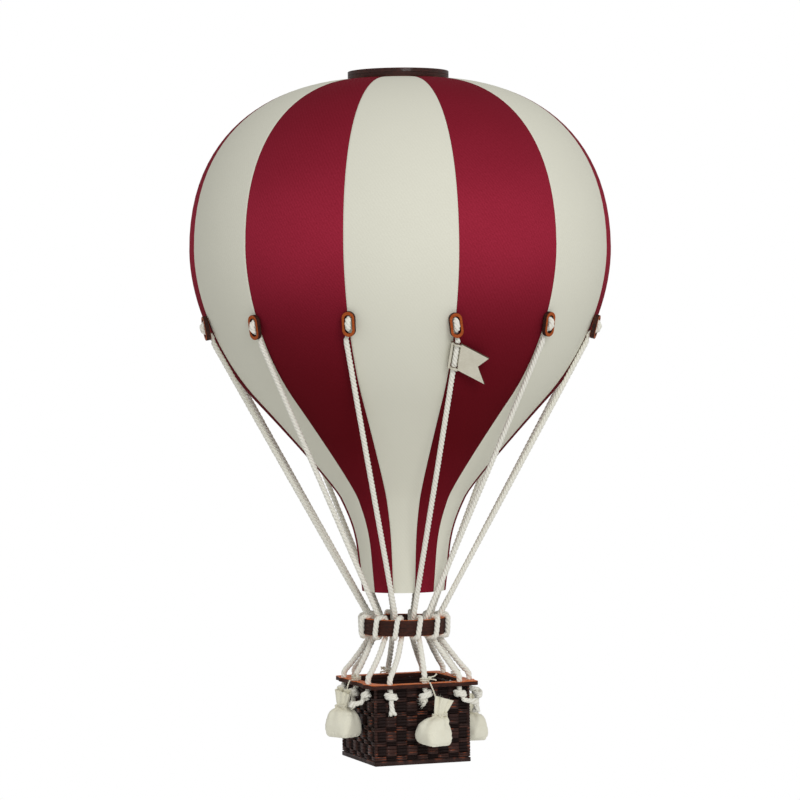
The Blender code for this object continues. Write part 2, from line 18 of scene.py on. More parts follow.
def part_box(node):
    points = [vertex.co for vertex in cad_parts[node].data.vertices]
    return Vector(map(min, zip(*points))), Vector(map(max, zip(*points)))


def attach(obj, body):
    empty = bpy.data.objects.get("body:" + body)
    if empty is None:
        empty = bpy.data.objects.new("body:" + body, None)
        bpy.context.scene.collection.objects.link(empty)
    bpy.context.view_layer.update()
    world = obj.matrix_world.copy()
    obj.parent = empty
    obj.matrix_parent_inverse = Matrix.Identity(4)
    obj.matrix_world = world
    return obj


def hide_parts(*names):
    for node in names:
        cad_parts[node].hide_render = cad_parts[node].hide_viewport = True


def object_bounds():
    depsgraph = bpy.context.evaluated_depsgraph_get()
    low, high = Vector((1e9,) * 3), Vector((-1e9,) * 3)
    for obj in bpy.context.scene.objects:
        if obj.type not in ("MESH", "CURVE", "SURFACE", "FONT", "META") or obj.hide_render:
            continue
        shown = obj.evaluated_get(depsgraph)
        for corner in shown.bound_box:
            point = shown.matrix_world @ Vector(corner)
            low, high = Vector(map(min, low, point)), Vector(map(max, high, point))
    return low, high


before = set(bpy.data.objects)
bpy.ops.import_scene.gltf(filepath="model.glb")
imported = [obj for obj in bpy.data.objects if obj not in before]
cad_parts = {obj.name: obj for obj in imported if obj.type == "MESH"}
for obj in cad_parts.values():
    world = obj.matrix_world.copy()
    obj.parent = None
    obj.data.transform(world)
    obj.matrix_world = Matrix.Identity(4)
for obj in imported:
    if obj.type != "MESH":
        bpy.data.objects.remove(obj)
CAD_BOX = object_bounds()
MM = 0.001
UP = Vector((0.0, 0.0, 1.0))

# %% [markdown]
# ## Places round the axis
# Nearly everything on a balloon repeats round one upright axis. An azimuth is the angle about it, 0 at the
# front and growing to the right, and `at` turns an azimuth, a distance out and a height into a point.
# Written once, it serves the cloth, the links, the ropes and the basket.

# %% Places round the axis


def outward(azimuth):
    return Vector((sin(azimuth), -cos(azimuth), 0.0))


def sideways(azimuth):
    return Vector((cos(azimuth), sin(azimuth), 0.0))


def at(azimuth, out, up, across=0.0):
    return outward(azimuth) * out + sideways(azimuth) * across + UP * up


def running(points):
    """The length along a row of points, at each of them."""
    lengths = [0.0]
    for first, second in zip(points, points[1:]):
        lengths.append(lengths[-1] + (second - first).length)
    return lengths


def add_object(name, data):
    made = bpy.data.objects.new(name, data)
    bpy.context.scene.collection.objects.link(made)
    return made


def evaluated(made):
    """An object as its modifiers leave it at this moment."""
    return made.evaluated_get(bpy.context.evaluated_depsgraph_get())


# %% [markdown]
# ## Camera
# A product photograph of a tall thing is taken from well back with a long lens, so that top and bottom keep
# their shape. The lens and the distance were worked out from how much the rings narrow; the slight roll is
# the photographer's. The camera is aimed by angles rather than by a tracking constraint, so nothing moves it.

# %% Camera
CAMERA_PLACE = Vector((-0.0013, -2.2944, -0.1945))
CAMERA_DOWN, CAMERA_ROLL = radians(1.009), radians(-0.65)
CAMERA_LENS, CAMERA_SENSOR = 144.07, 36.0

camera_data = bpy.data.cameras.new("camera")
camera_data.lens, camera_data.sensor_width = CAMERA_LENS, CAMERA_SENSOR
camera = add_object("camera", camera_data)
aim = Matrix.Rotation(pi / 2 - CAMERA_DOWN, 4, "X") @ Matrix.Rotation(CAMERA_ROLL, 4, "Z")
camera.matrix_world = Matrix.Translation(CAMERA_PLACE) @ aim
bpy.context.scene.camera = camera
bpy.context.scene.view_settings.view_transform = "Standard"
print("camera at", tuple(round(value, 3) for value in CAMERA_PLACE))

# %% [markdown]
# ## Shader sums
# A node tree is a sum written with boxes. `Wire` holds one socket and knows the usual signs, so that a finish
# can be written as an expression, and `Finish` is a material under construction that adds the other nodes.
# Wiring every box by hand would also work, but a reader could not see the sum behind it.

# %% Shader sums


class Wire:
    """One output socket in a tree, which can be added, multiplied and so on like a number."""

    def __init__(self, tree, socket):
        self.tree, self.socket = tree, socket

    def maths(self, operation, *values):
        return add_node(self.tree, "Math", {"operation": operation}, dict(enumerate(values)))

    def sine(self):
        return self.maths("SINE", self)

    def between(self, low, high):
        """0 at low, 1 at high, and straight between them."""
        inputs = {"Value": self, "From Min": low, "From Max": high}
        return add_node(self.tree, "MapRange", {"clamp": True}, inputs)


def signed(operation, swapped):
    return lambda self, other: self.maths(operation, *((other, self) if swapped else (self, other)))


for sign, operation in (("add", "ADD"), ("sub", "SUBTRACT"), ("mul", "MULTIPLY"), ("pow", "POWER")):
    setattr(Wire, f"__{sign}__", signed(operation, False))
    setattr(Wire, f"__r{sign}__", signed(operation, True))


def add_node(tree, kind, settings=None, inputs=None, output=0):
    """A node with its settings made first, then its inputs, given as numbers, colours or wires."""
    made = tree.nodes.new("ShaderNode" + kind)
    for name, value in (settings or {}).items():
        setattr(made, name, value)
    for name, value in (inputs or {}).items():
        if isinstance(value, Wire):
            tree.links.new(value.socket, made.inputs[name])
        else:
            made.inputs[name].default_value = value
    return Wire(tree, made.outputs[output])


class Finish:
    """A material under construction."""

    def __init__(self, name, **fixed):
        self.material = bpy.data.materials.new(name)
        self.material.use_nodes = True
        self.tree = self.material.node_tree
        self.shader = self.tree.nodes["Principled BSDF"]
        for key, value in fixed.items():
            self.shader.inputs[key.replace("_", " ")].default_value = value

    def node(self, kind, settings=None, inputs=None, output=0):
        return add_node(self.tree, kind, settings, inputs, output)

    def feed(self, **wires):
        for key, wire in wires.items():
            self.tree.links.new(wire.socket, self.shader.inputs[key.replace("_", " ")])

    def mark(self, name):
        """A number that the mesh carries at each of its points."""
        return self.node("Attribute", {"attribute_name": name}, output="Fac")

    def object_place(self):
        return self.node("TexCoord", output="Object")

    def flat_place(self):
        """The flat place on the surface in metres, across and along."""
        return self.node("UVMap", {"uv_map": "metres"})

    def metres(self):
        """The same as two numbers."""
        flat = self.flat_place()
        return [self.node("SeparateXYZ", {}, {0: flat}, axis) for axis in "XY"]

    def grain(self, place, size, detail=3.0, stretch=(1.0, 1.0, 1.0)):
        """Soft noise about 0.5, with grains of a size in metres, longer along axes whose stretch is more."""
        scale = tuple(1.0 / (size * share) for share in stretch)
        scaled = self.node("VectorMath", {"operation": "MULTIPLY"}, {0: place, 1: scale})
        return self.node("TexNoise", {}, {"Vector": scaled, "Scale": 1.0, "Detail": detail}, "Fac")

    def mix(self, share, first, second):
        """The first colour where share is 0 and the second where it is 1."""
        colours = [value if isinstance(value, Wire) else (*value, 1.0) for value in (first, second)]
        settings = {"data_type": "RGBA", "clamp_factor": True}
        return self.node("Mix", settings, {0: share, 6: colours[0], 7: colours[1]}, 2)

    def bump(self, height, distance, strength=1.0):
        inputs = {"Height": height, "Distance": distance, "Strength": strength}
        self.feed(Normal=self.node("Bump", {}, inputs))


# %% [markdown]
# ## Studio
# The model hangs in a bright white room: light from all round, stronger from the front, a little from the
# right and above, so that the cloth is brightest above its middle and falls off gently below. A single lamp
# would cut hard shadows, so the room gives most of the light and one broad panel gives the rest.
# The floor is pale, well below the basket, and fades out into the room so that it draws no line.

# %% Studio
# how far up the room, and how bright its light is there
ROOM_STOPS = ((0.00, 0.10), (0.40, 0.36), (0.54, 0.86), (1.00, 0.48))
ROOM_LIGHT = 0.86
PANEL_PLACE, PANEL_AIM = Vector((0.75, -2.30, 0.80)), Vector((0.0, 0.0, -0.22))
PANEL_SIZE, PANEL_POWER = 0.9, 23.0
FLOOR_HEIGHT, FLOOR_REACH = CAD_BOX[0][2] - 0.40, 2.6
WHITE, PALE = (1.0, 1.0, 1.0, 1.0), (0.93, 0.93, 0.92, 1.0)

world = bpy.data.worlds.new("room")
bpy.context.scene.world = world
world.use_nodes = True
room = world.node_tree
room.nodes.clear()
way = add_node(room, "TexCoord", output="Generated")
height = add_node(room, "SeparateXYZ", {}, {0: way}, "Z") * 0.5 + 0.5
walls = add_node(room, "ValToRGB", {}, {0: height})
ramp = walls.socket.node.color_ramp
while len(ramp.elements) < len(ROOM_STOPS):
    ramp.elements.new(0.5)
for element, (place, light) in zip(ramp.elements, ROOM_STOPS):
    element.position, element.color = place, (light, light, light, 1.0)
glow = add_node(room, "Background", {}, {"Color": walls, "Strength": ROOM_LIGHT})
seen = add_node(room, "Background", {}, {"Color": WHITE, "Strength": 1.0})
straight = add_node(room, "LightPath", output="Is Camera Ray")
both = add_node(room, "MixShader", {}, {0: straight, 1: glow, 2: seen})
room.links.new(both.socket, room.nodes.new("ShaderNodeOutputWorld").inputs["Surface"])

panel_data = bpy.data.lights.new("panel", "AREA")
panel_data.shape, panel_data.size, panel_data.energy = "SQUARE", PANEL_SIZE, PANEL_POWER
panel_turn = (PANEL_AIM - PANEL_PLACE).to_track_quat("-Z", "Y").to_matrix().to_4x4()
add_object("panel", panel_data).matrix_world = Matrix.Translation(PANEL_PLACE) @ panel_turn

ground = Finish("pale_floor", Roughness=0.9, Emission_Strength=0.05, Base_Color=PALE, Emission_Color=WHITE)
reach = ground.node("VectorMath", {"operation": "LENGTH"}, {0: ground.object_place()}, "Value")
ground.feed(Alpha=1.0 - reach.between(FLOOR_REACH * 0.35, FLOOR_REACH * 0.97))
bm = bmesh.new()
bmesh.ops.create_circle(bm, cap_ends=True, radius=FLOOR_REACH, segments=96)
floor_data = bpy.data.meshes.new("floor")
bm.to_mesh(floor_data)
bm.free()
floor_data.materials.append(ground.material)
floor = add_object("floor", floor_data)
floor.location = (0.0, 0.0, FLOOR_HEIGHT)
print("floor at", round(FLOOR_HEIGHT, 3))

# %% [markdown]
# ## From points to pieces
# Most pieces here are skins over a row of rings: a strip of cloth, a hoop, a strand of rope, a bag. `Shape`
# gathers such skins into one mesh. It keeps a flat place in metres for each corner, so that a weave has the
# right scale, and any number that a finish wants to know at each point, such as how far it is from a seam.

# %% From points to pieces


def place_piece(name, data, finishes, body, stands_for, sharp):
    """A ready mesh as an object that rides on a body of the model in place of one of its nodes."""
    for finish in finishes:
        data.materials.append(finish.material)
    data.shade_smooth()
    data.set_sharp_from_angle(angle=radians(sharp))
    made = add_object(name, data)
    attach(made, body)
    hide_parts(stands_for)
    return made


class Shape:
    """Points and faces that grow into one mesh."""

    def __init__(self):
        self.points, self.faces, self.flat, self.marks = [], [], [], {}

    def skin(self, rings, loop=False, flat=None, marks=None):
        """Joins rings of equally many points, and closes the ends unless the rings make a loop. flat gives
        (across, along) for every point of every ring, and marks gives numbers for the points of a ring, one
        for all, or a function of row and place."""
        base, count, size = len(self.points), len(rings), len(rings[0])
        for ring in rings:
            self.points += ring
        for name, values in (marks or {}).items():
            store = self.marks.setdefault(name, {})
            for index in range(count * size):
                row, place = divmod(index, size)
                if callable(values):
                    store[base + index] = values(row, place)
                else:
                    store[base + index] = values[place] if hasattr(values, "__len__") else values
        around, along = running(rings[0] + rings[0][:1]), running([ring[0] for ring in rings + rings[:1]])
        for row in range(count if loop else count - 1):
            for place in range(size):
                corners = [(row + down, place + over) for down, over in ((0, 0), (0, 1), (1, 1), (1, 0))]
                self.faces.append(tuple(base + r % count * size + p % size for r, p in corners))
                self.flat += [flat[r][p % size] if flat else (around[p], along[r]) for r, p in corners]
        for row, order in () if loop else ((0, range(size)), (count - 1, range(size - 1, -1, -1))):
            self.faces.append(tuple(base + row * size + place for place in order))
            middle = sum(rings[row], Vector()) / size
            reach = [rings[row][place] - middle for place in order]
            self.flat += [flat[row][p] for p in order] if flat else [(way.x, way.y + way.z) for way in reach]

    def piece(self, name, finish, stands_for, body="balloon", sharp=35.0):
        """The finished piece."""
        data = bpy.data.meshes.new(name)
        data.from_pydata([tuple(point) for point in self.points], [], self.faces)
        layer = data.uv_layers.new(name="metres")
        layer.data.foreach_set("uv", [value for pair in self.flat for value in pair])
        for mark, values in self.marks.items():
            store = data.attributes.new(mark, "FLOAT", "POINT")
            store.data.foreach_set("value", [values.get(index, 0.0) for index in range(len(self.points))])
        bm = bmesh.new()
        bm.from_mesh(data)
        bmesh.ops.recalc_face_normals(bm, faces=bm.faces)
        bm.to_mesh(data)
        bm.free()
        return place_piece(name, data, [finish], body, stands_for, sharp)


# %% [markdown]
# ## Cloth finish
# The envelope is a smooth knitted jersey, stretched over the former. Close to, it has fine ribs on a slant. A
# picture of a knit would blur when the camera comes near, so the ribs are sine waves in metres, and a little
# noise makes the yarn uneven. Near a seam the stitches pull the cloth into small puckers. The hollows of the
# knit and the fold at each seam are painted a little darker, as painted shade. The colour is also painted
# lightest round the widest part and darker towards the crown and down the cone, as painted shade where the
# cloth turns from the light.

# %% Cloth finish
RIB, LOOP, STITCH = 2.3 * MM, 1.2 * MM, 2.6 * MM
PUCKER_REACH, FOLD_REACH = 2.6 * MM, 0.35 * MM


def cloth_finish(name, thread, deep, painted_shade):
    """Knitted cloth in a thread colour, a deeper one for uneven yarn and painted shade in its hollows, and one
    of painted shade for down the cloth.
    """
    finish = Finish(name, Specular_IOR_Level=0.02)
    across, along = finish.metres()
    place = finish.flat_place()
    ribs = ((across - along * 0.65) * (tau / RIB)).sine() * 0.5 + 0.5
    loops = ((along + across * 0.35) * (tau / LOOP)).sine() * 0.5 + 0.5
    yarn = finish.grain(place, 1.1 * MM, 2.0, (1.0, 1.5, 1.0))
    cloud = finish.grain(place, 38 * MM, 2.0)
    seam = finish.mark("seam")
    near = 1.0 - seam.between(0.0, PUCKER_REACH)
    pucker = (along * (tau / STITCH)).sine() * near * near
    fold = 1.0 - seam.between(0.0, FOLD_REACH)
    # yarn and cloud are the yarn's own uneven tone; the rib and loop hollows and the fold at each seam add
    # painted shade
    depth = yarn * 0.60 + (1.0 - ribs) * 0.13 + (1.0 - loops) * 0.10 + cloud * 0.18 + fold * 0.2
    knit = finish.mix(depth.between(0.18, 1.05), thread, deep)
    # painted shade: towards the crown and down the cone the colour is mixed towards a darker one, where the
    # cloth turns from the light
    finish.feed(Base_Color=finish.mix(finish.mark("dye"), painted_shade, knit), Roughness=0.72 + yarn * 0.2)
    finish.bump(ribs * 0.35 + loops * 0.25 + yarn * 0.4 + pucker * 1.6, 0.10 * MM, 0.5)
    return finish


# thread colour, deeper colour, then the colour of the painted shade down the cloth
CREAM = cloth_finish("cream_knit", (0.825, 0.82, 0.705), (0.70, 0.685, 0.575), (0.715, 0.705, 0.60))
BURGUNDY = cloth_finish("burgundy_knit", (0.42, 0.029, 0.062), (0.215, 0.009, 0.02), (0.082, 0.0028, 0.0042))
print("cloth finishes ready")

# %% [markdown]
# ## Envelope
# A balloon's envelope is sewn from long strips called gores, cut wide in the middle and narrow at the ends.
# Here twelve of them hang from the crown to the mouth. One outline gives them all their curve, as four smooth
# stretches between five knots. Each gore is its own thin sheet whose edges turn in at the seams, as a sewn
# edge does, and the bottom edge is a flat hem. One turned surface with painted stripes would show no seams.

# %% Envelope
GORES = 12
GORE_TURN, HALF_GORE = radians(0.28), pi / GORES
SEAM_GAP, SHEET, HEM = 0.04 * MM, 0.8 * MM, 4.5 * MM
HEM_SWELL, HEM_FADE, HEM_LIFT = 0.25 * MM, 1.5 * MM, 0.8 * MM
SEAM_DIP, SEAM_WIDTH, GORE_CROWN = 0.26 * MM, 0.5 * MM, 0.12 * MM
# knots of the outline in mm and degrees: radius, height, heading (0 outward, -90 down), two handles
ENVELOPE_KNOTS = (
    (31.0, -6.3, 0.0, 0.0, 46.9),
    (150.6, -127.1, -90.0, 94.5, 33.8),
    (104.5, -234.7, -133.5, 43.1, 12.0),
    (45.2, -304.3, -116.2, 11.9, 31.2),
    (29.6, -372.0, -98.2, 33.2, 0.0),
)
OUTLINE_STEPS = (26, 18, 10, 16)
SEAM_STEPS = (0.0, 0.12 * MM, 0.3 * MM, 0.6 * MM, 1.1 * MM, 2.0 * MM)
GORE_STEPS = 8
# down the cloth in metres, and how much of the lit colour shows there; the rest is painted shade
PAINTED_LIGHT_STOPS = (
    (0.0, 0.36), (0.065, 0.41), (0.10, 0.50), (0.135, 0.66), (0.160, 0.86), (0.178, 0.94), (0.196, 0.90),
    (0.215, 0.72), (0.236, 0.46), (0.256, 0.29), (0.28, 0.19), (0.31, 0.13), (0.345, 0.10), (0.395, 0.19),
    (0.45, 0.36), (0.50, 0.70),
)


def bezier(start, leave, arrive, end, steps):
    """Points along one stretch of a curve, without its last."""
    points = []
    for step in range(steps):
        t = step / steps
        u = 1 - t
        first, last = start + leave, end - arrive
        points.append(start * u**3 + first * 3 * u * u * t + last * 3 * u * t * t + end * t**3)
    return points


def envelope_outline(stretches):
    """The outline of the cloth from the crown down to the mouth, as (radius, height)."""
    knots = []
    for radius, height, heading, before, after in ENVELOPE_KNOTS:
        way = Vector((cos(radians(heading)), sin(radians(heading)))) * MM
        knots.append((Vector((radius, height)) * MM, way * before, way * after))
    points = []
    for (start, _, leave), (end, arrive, _), steps in zip(knots, knots[1:], stretches):
        points += bezier(start, leave, arrive, end, steps)
    return points + [knots[-1][0]]


OUTLINE = envelope_outline(OUTLINE_STEPS)
DOWN_CLOTH = running(OUTLINE)


def painted_light_at(down):
    for (above, first), (below, last) in zip(PAINTED_LIGHT_STOPS, PAINTED_LIGHT_STOPS[1:]):
        if down <= below:
            return first + (last - first) * (down - above) / (below - above)
    return PAINTED_LIGHT_STOPS[-1][1]


def gore_places(half):
    """Places across a gore, close together at the seams, with each one's distance from the nearer seam."""
    inner = half - SEAM_STEPS[-1]
    left = [step - half for step in SEAM_STEPS]
    middle = [inner * (2 * step / GORE_STEPS - 1) for step in range(1, GORE_STEPS)]
    places = left + middle + [-value for value in reversed(left)]
    return [(place, half - abs(place)) for place in places]


def make_gore(number):
    azimuth = number * 2 * HALF_GORE + GORE_TURN
    rings, flat, seams = [], [], []
    last = len(OUTLINE) - 1
    for row, point in enumerate(OUTLINE):
        way = (OUTLINE[min(row + 1, last)] - OUTLINE[max(row - 1, 0)]).normalized()
        inward = Vector((way.y, -way.x))
        half = point.x * HALF_GORE - SEAM_GAP
        places = gore_places(half)
        above_hem = DOWN_CLOTH[-1] - DOWN_CLOTH[row] - HEM
        hem = HEM_SWELL * (1 if above_hem < 0 else max(0.0, 1 - above_hem / HEM_FADE))
        lift = HEM_LIFT if row == last else 0.0
        outer, inner = [], []
        for place, edge in places:
            dip = SEAM_DIP * exp(-((edge / SEAM_WIDTH) ** 2))
            crown = GORE_CROWN * (1 - (place / half) ** 2)
            for side, depth in ((outer, dip - crown - hem), (inner, SHEET + hem + dip * 0.3)):
                at_depth = point + inward * depth
                side.append(at(azimuth + place / point.x, at_depth.x, at_depth.y + lift))
        places += places[::-1]
        rings.append(outer + inner[::-1])
        flat.append([(place, DOWN_CLOTH[row]) for place, _ in places])
        seams.append([edge for _, edge in places])
    shape = Shape()
    # each point also carries how much of the lit colour it shows down the cloth, which sets the painted shade
    marks = {"seam": lambda row, place: seams[row][place], "dye": lambda row, place: painted_light_at(DOWN_CLOTH[row])}
    shape.skin(rings, flat=flat, marks=marks)
    cloth, slot = (BURGUNDY, "burgundy_cloth") if number % 2 else (CREAM, "cream_cloth")
    made = shape.piece(f"cloth_gore_{number + 1:02d}", cloth, f"gore_{number + 1:02d}")
    width = 2 * HALF_GORE * max(point.x for point in OUTLINE)
    stretches = zip(OUTLINE, OUTLINE[1:])
    area = sum(HALF_GORE * (above.x + below.x) * (below - above).length for above, below in stretches)
    return round(width, 4), round(DOWN_CLOTH[-1], 4), round(area, 5)


for number in range(GORES):
    gore_sizes = make_gore(number)
print("gores:", GORES, "each wide, long and area", gore_sizes)

# %% [markdown]
# ## Plywood
# The rings, links and rim are cut from thin plywood by a laser, stained and varnished. A laser chars what it
# cuts, so the edges are nearly black with the plies just showing as lines, and the faces are warm orange
# brown with a fine grain. One finish does both: the mesh marks its cut edges with 1 and its faces with 0, and
# carries the depth through the board, from which the plies come.

# %% Plywood
PLY = 0.95 * MM
HOOP_WALLS = {"top_ring": 4.8 * MM, "load_ring": 4.2 * MM}
HOOP_EDGE, HOOP_STEPS = 0.35 * MM, 144
GROOVE_HALF, GROOVE_DEEP = 0.16 * MM, 0.14 * MM


def plywood_finish(name, face, streak, char, glue, coat):
    finish = Finish(name, Coat_Weight=coat, Coat_Roughness=0.14, Specular_IOR_Level=0.10)
    place = finish.object_place()
    lines = finish.grain(place, 0.5 * MM, 4.0, (26.0, 1.0, 1.0))
    pores = finish.grain(place, 0.28 * MM, 2.0, (9.0, 1.0, 1.0))
    patch = finish.grain(place, 9 * MM, 2.0)
    soot = finish.grain(place, 2.2 * MM, 3.0, (1.6, 1.6, 0.5))
    edge = finish.mark("cut")
    ply = ((finish.mark("depth") * (tau / PLY)).sine() * 0.5 + 0.5) ** 5.0
    board = finish.mix(lines.between(0.32, 0.72), face, streak)
    board = finish.mix(pores.between(0.55, 0.75) * 0.35, board, char)
    burnt = finish.mix(ply * soot.between(0.35, 0.65), char, glue)
    rough = 0.34 + lines * 0.18 + edge * 0.08 + patch * 0.10
    finish.feed(Base_Color=finish.mix(edge, board, burnt), Roughness=rough)
    finish.bump(lines * 0.5 + pores * 0.3 - ply * edge * 0.9, 0.12 * MM, 0.7)
    return finish


# face, streak, charred edge and glue line, then the strength of the varnish
STAINED = plywood_finish(
    "stained_plywood", (0.46, 0.10, 0.02), (0.27, 0.05, 0.01), (0.026, 0.012, 0.010), (0.17, 0.04, 0.02), 0.02
)
# a copy of the stained plywood with much lighter faces, as painted light: the rim and the lower ring sit in
# the envelope's shade, and the lighter colour makes up for it
PLYWOOD_PAINTED_LIGHT = plywood_finish(
    "plywood_painted_light",
    (0.86, 0.215, 0.042),
    (0.64, 0.14, 0.026),
    (0.034, 0.014, 0.011),
    (0.15, 0.04, 0.022),
    0.02,
)
DARK = plywood_finish(
    "dark_plywood_varnish",
    (0.30, 0.085, 0.04),
    (0.14, 0.04, 0.022),
    (0.036, 0.016, 0.013),
    (0.13, 0.034, 0.026),
    0.16,
)
print("plywood finishes ready")


def board_section(inner, outer, bottom, top, edge, grooves):
    """Points round the section of a hoop as (radius, height, cut), eased and grooved between its boards."""
    ease = edge * 0.3
    points = [(inner + edge, top, 0.0), (outer - edge, top, 0.0)]
    points += [(outer - ease, top - ease, 0.6), (outer, top - edge, 1.0)]
    for groove in grooves:
        points += [(outer, groove + GROOVE_HALF, 1.0), (outer - GROOVE_DEEP, groove, 1.0)]
        points += [(outer, groove - GROOVE_HALF, 1.0)]
    points += [(outer, bottom + edge, 1.0), (outer - ease, bottom + ease, 0.6)]
    points += [(outer - edge, bottom, 0.0), (inner + edge, bottom, 0.0)]
    points += [(inner + ease, bottom + ease, 0.6), (inner, bottom + edge, 1.0)]
    return points + [(inner, top - edge, 1.0), (inner + ease, top - ease, 0.6)]


def make_hoop(name, node, boards, finish):
    """A turned hoop of glued boards in the place of a ring node."""
    low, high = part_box(node)
    thick = (high.z - low.z) / boards
    grooves = [high.z - thick * count for count in range(1, boards)]
    section = board_section(high.x - HOOP_WALLS[node], high.x, low.z, high.z, HOOP_EDGE, grooves)
    rings = []
    for step in range(HOOP_STEPS):
        azimuth = tau * step / HOOP_STEPS
        rings.append([at(azimuth, radius, height) for radius, height, _ in section])
    shape = Shape()
    marks = {"cut": [cut for _, _, cut in section], "depth": [height - low.z for _, height, _ in section]}
    shape.skin(rings, loop=True, marks=marks)
    shape.piece(name, finish, node)
    print(name, "outer radius", round(high.x, 4), "boards", boards)


make_hoop("crown_hoop", "top_ring", 2, DARK)
# the lower ring takes the plywood copy painted lighter, as painted light
make_hoop("rope_hoop", "load_ring", 4, PLYWOOD_PAINTED_LIGHT)

# %% [markdown]
# ## Links
# Twelve small oval links sit on the seams, and each rope goes through one. They are flat stadium shapes with
# a slot, cut like the rings. A torus squashed flat would be quick, but its section would be round; here a
# small rounded rectangle is carried round the stadium. No two hang quite alike, so one table holds what
# differs from rope to rope, as measured in the photograph, and both the links and the ropes read it.

# %% Links
LINK_HEIGHT = -181.0 * MM
LINK_LENGTH, LINK_WIDTH, LINK_THICKNESS = 17.2 * MM, 8.9 * MM, 3.4 * MM
SLOT_LENGTH, SLOT_WIDTH = 12.4 * MM, 5.1 * MM
LINK_TILT, LINK_STEPS = radians(10.5), 20
LINK_GAP, LINK_EDGE = 0.3 * MM, 0.28 * MM
COARSE_STEPS = (11, 8, 3, 5)
# Angles in degrees: azimuth and side_step, where its link sits and how far that is off its seam; turn, how
# far the link leans; wrap, from the azimuth to its turn round the lower ring. Lengths in mm: rise, how far
# its link sits above LINK_HEIGHT; aside, where the rope leaves the link, along the ring, and lift, how far it
# stands off the cloth there; arrive and leave, how far along the lower ring it comes in and goes on; sag, how
# far it hangs inward below that ring; knot, how far its knot stands out; lean, away and tail, where its end
# points, along the rim, out from it and down; brush, how long its frayed end is. side and hole: its place in
# the rim.
Rope = namedtuple(
    "Rope", "azimuth side_step rise turn aside lift arrive leave wrap sag side hole knot lean away tail brush"
)
ROPES = [
    Rope(*row)
    for row in (
        (15, -0.2, -0.3, 9, 0.3, 2.1, 1.9, 0, 3.5, -0.6, 0, 0, 0, -2.5, 0, 0.7, 4.9),
        (45, 0, 0, 0, 0, 0, 0, 0, 0.5, 0.6, 0, 1, 0, 12, 0.5, 2.6, 2.4),
        (75, 0, -1.5, 0, 0, 0, 0, 0, 0, 0.6, 1, -1, 4.6, -1, -1, 11, 3),
        (105, 0, 0, 0, 0, 0, 0, 0, 0, 1, 1, 0, 0, -6, 0, 8, 3),
        (135, 0, 0.6, 0, 0, 0, 0, 0, 0, 1, 1, 1, 0, 2, 0, 10, 2.6),
        (165, 0, 0, 3, 0, 0, 1.2, -2, 3, 1, 2, -1, 0, 1, 0, 9, 3.2),
        (195, 0, -0.8, 0, 0, 0, 2.4, -2.8, 6, 1, 2, 0, 0, -6.5, 0, 8, 3),
        (225, 0, 0, -4, 0, 0, 0, 0, 5, 1, 2, 1, 0, -1, 0, 10, 2.6),
        (255, 0, 0, 0, 0, 0, 0, 0, 2, 1, 3, -1, 0, 2, 0, 9, 3),
        (285, 0, 0, 0, 0, 0, 0, 0, 2, 0.6, 3, 0, 0, -6, 0, 8, 3.4),
        (315, 0, 0, 0, 0, 0, 0, 0, 5, 1.6, 3, 1, 0, -7.5, 8.6, 3, 3),
        (345, 0.45, 1.3, 0, -3.4, 0, 0.8, 0, 4, 3, 0, -1, 0, 1, 0, 10.2, 2.6),
    )
]


def cloth_at(height):
    """Radius of the cloth at a height on its lower half, and its lean from the vertical there."""
    outline = envelope_outline(COARSE_STEPS)
    for above, below in zip(outline, outline[1:]):
        if above.x > 100 * MM and below.y <= height <= above.y:
            share = (height - above.y) / (below.y - above.y)
            lean = atan2(above.x - below.x, above.y - below.y)
            return above.x + share * (below.x - above.x), lean
    raise ValueError("no cloth at that height")


def link_frame(rope):
    """Where a link lies: X along the ring, Y up its length and Z out from the cloth."""
    azimuth = radians(rope.azimuth + rope.side_step) + GORE_TURN
    height = LINK_HEIGHT + rope.rise * MM
    radius, lean = cloth_at(height)
    stand = LINK_GAP + LINK_THICKNESS / 2 + LINK_LENGTH / 2 * sin(LINK_TILT)
    centre = at(azimuth, radius, height) + (outward(azimuth) * cos(lean) - UP * sin(lean)) * stand
    slope = lean - LINK_TILT
    across = sideways(azimuth)
    out = outward(azimuth) * cos(slope) - UP * sin(slope)
    stand_up = Matrix((across, out.cross(across), out)).transposed().to_4x4()
    return Matrix.Translation(centre) @ stand_up @ Matrix.Rotation(radians(rope.turn), 4, "Z")


def stadium(length, width):
    """Points round a slot shape whose long side lies along Y."""
    radius = width / 2
    straight = length / 2 - radius
    points = []
    for end, begin in ((1, 0.0), (-1, pi)):
        for step in range(LINK_STEPS + 1):
            angle = pi * step / LINK_STEPS + begin
            points.append(Vector((radius * cos(angle), radius * sin(angle) + end * straight, 0.0)))
    return points


def make_link(number, rope):
    place = link_frame(rope)
    half, edge = LINK_THICKNESS / 2, LINK_EDGE
    ease = edge * 0.3
    # 1 at the outer edge and 0 at the slot, inset from there, height and cut
    section = (
        (0, edge, half, 0.0), (1, edge, half, 0.0), (1, ease, half - ease, 0.6), (1, 0.0, half - edge, 1.0),
        (1, 0.0, -half + edge, 1.0), (1, edge, -half, 0.0), (0, edge, -half, 0.0),
        (0, 0.0, -half + edge, 1.0), (0, 0.0, half - edge, 1.0), (0, ease, half - ease, 0.6),
    )
    rings = []
    for outer, inner in zip(stadium(LINK_LENGTH, LINK_WIDTH), stadium(SLOT_LENGTH, SLOT_WIDTH)):
        way = (outer - inner).normalized()
        ring = []
        for far, inset, height, _ in section:
            point = outer - way * inset if far else inner + way * inset
            ring.append(place @ (point + UP * height))
        rings.append(ring)
    shape = Shape()
    marks = {"cut": [row[3] for row in section], "depth": [row[2] + half for row in section]}
    shape.skin(rings, loop=True, marks=marks)
    shape.piece(f"oval_link_{number + 1:02d}", STAINED, f"link_{number + 1:02d}")


# %% [markdown]
# ## Where the ropes run
# A rope starts in a bulge at its link, runs down the cloth, inside the lower ring and once round it, then out
# to the basket's rim, through a hole and into a knot. That way is settled by what it touches, so it is listed
# piece by piece from the sizes of those pieces, and smoothed afterwards.

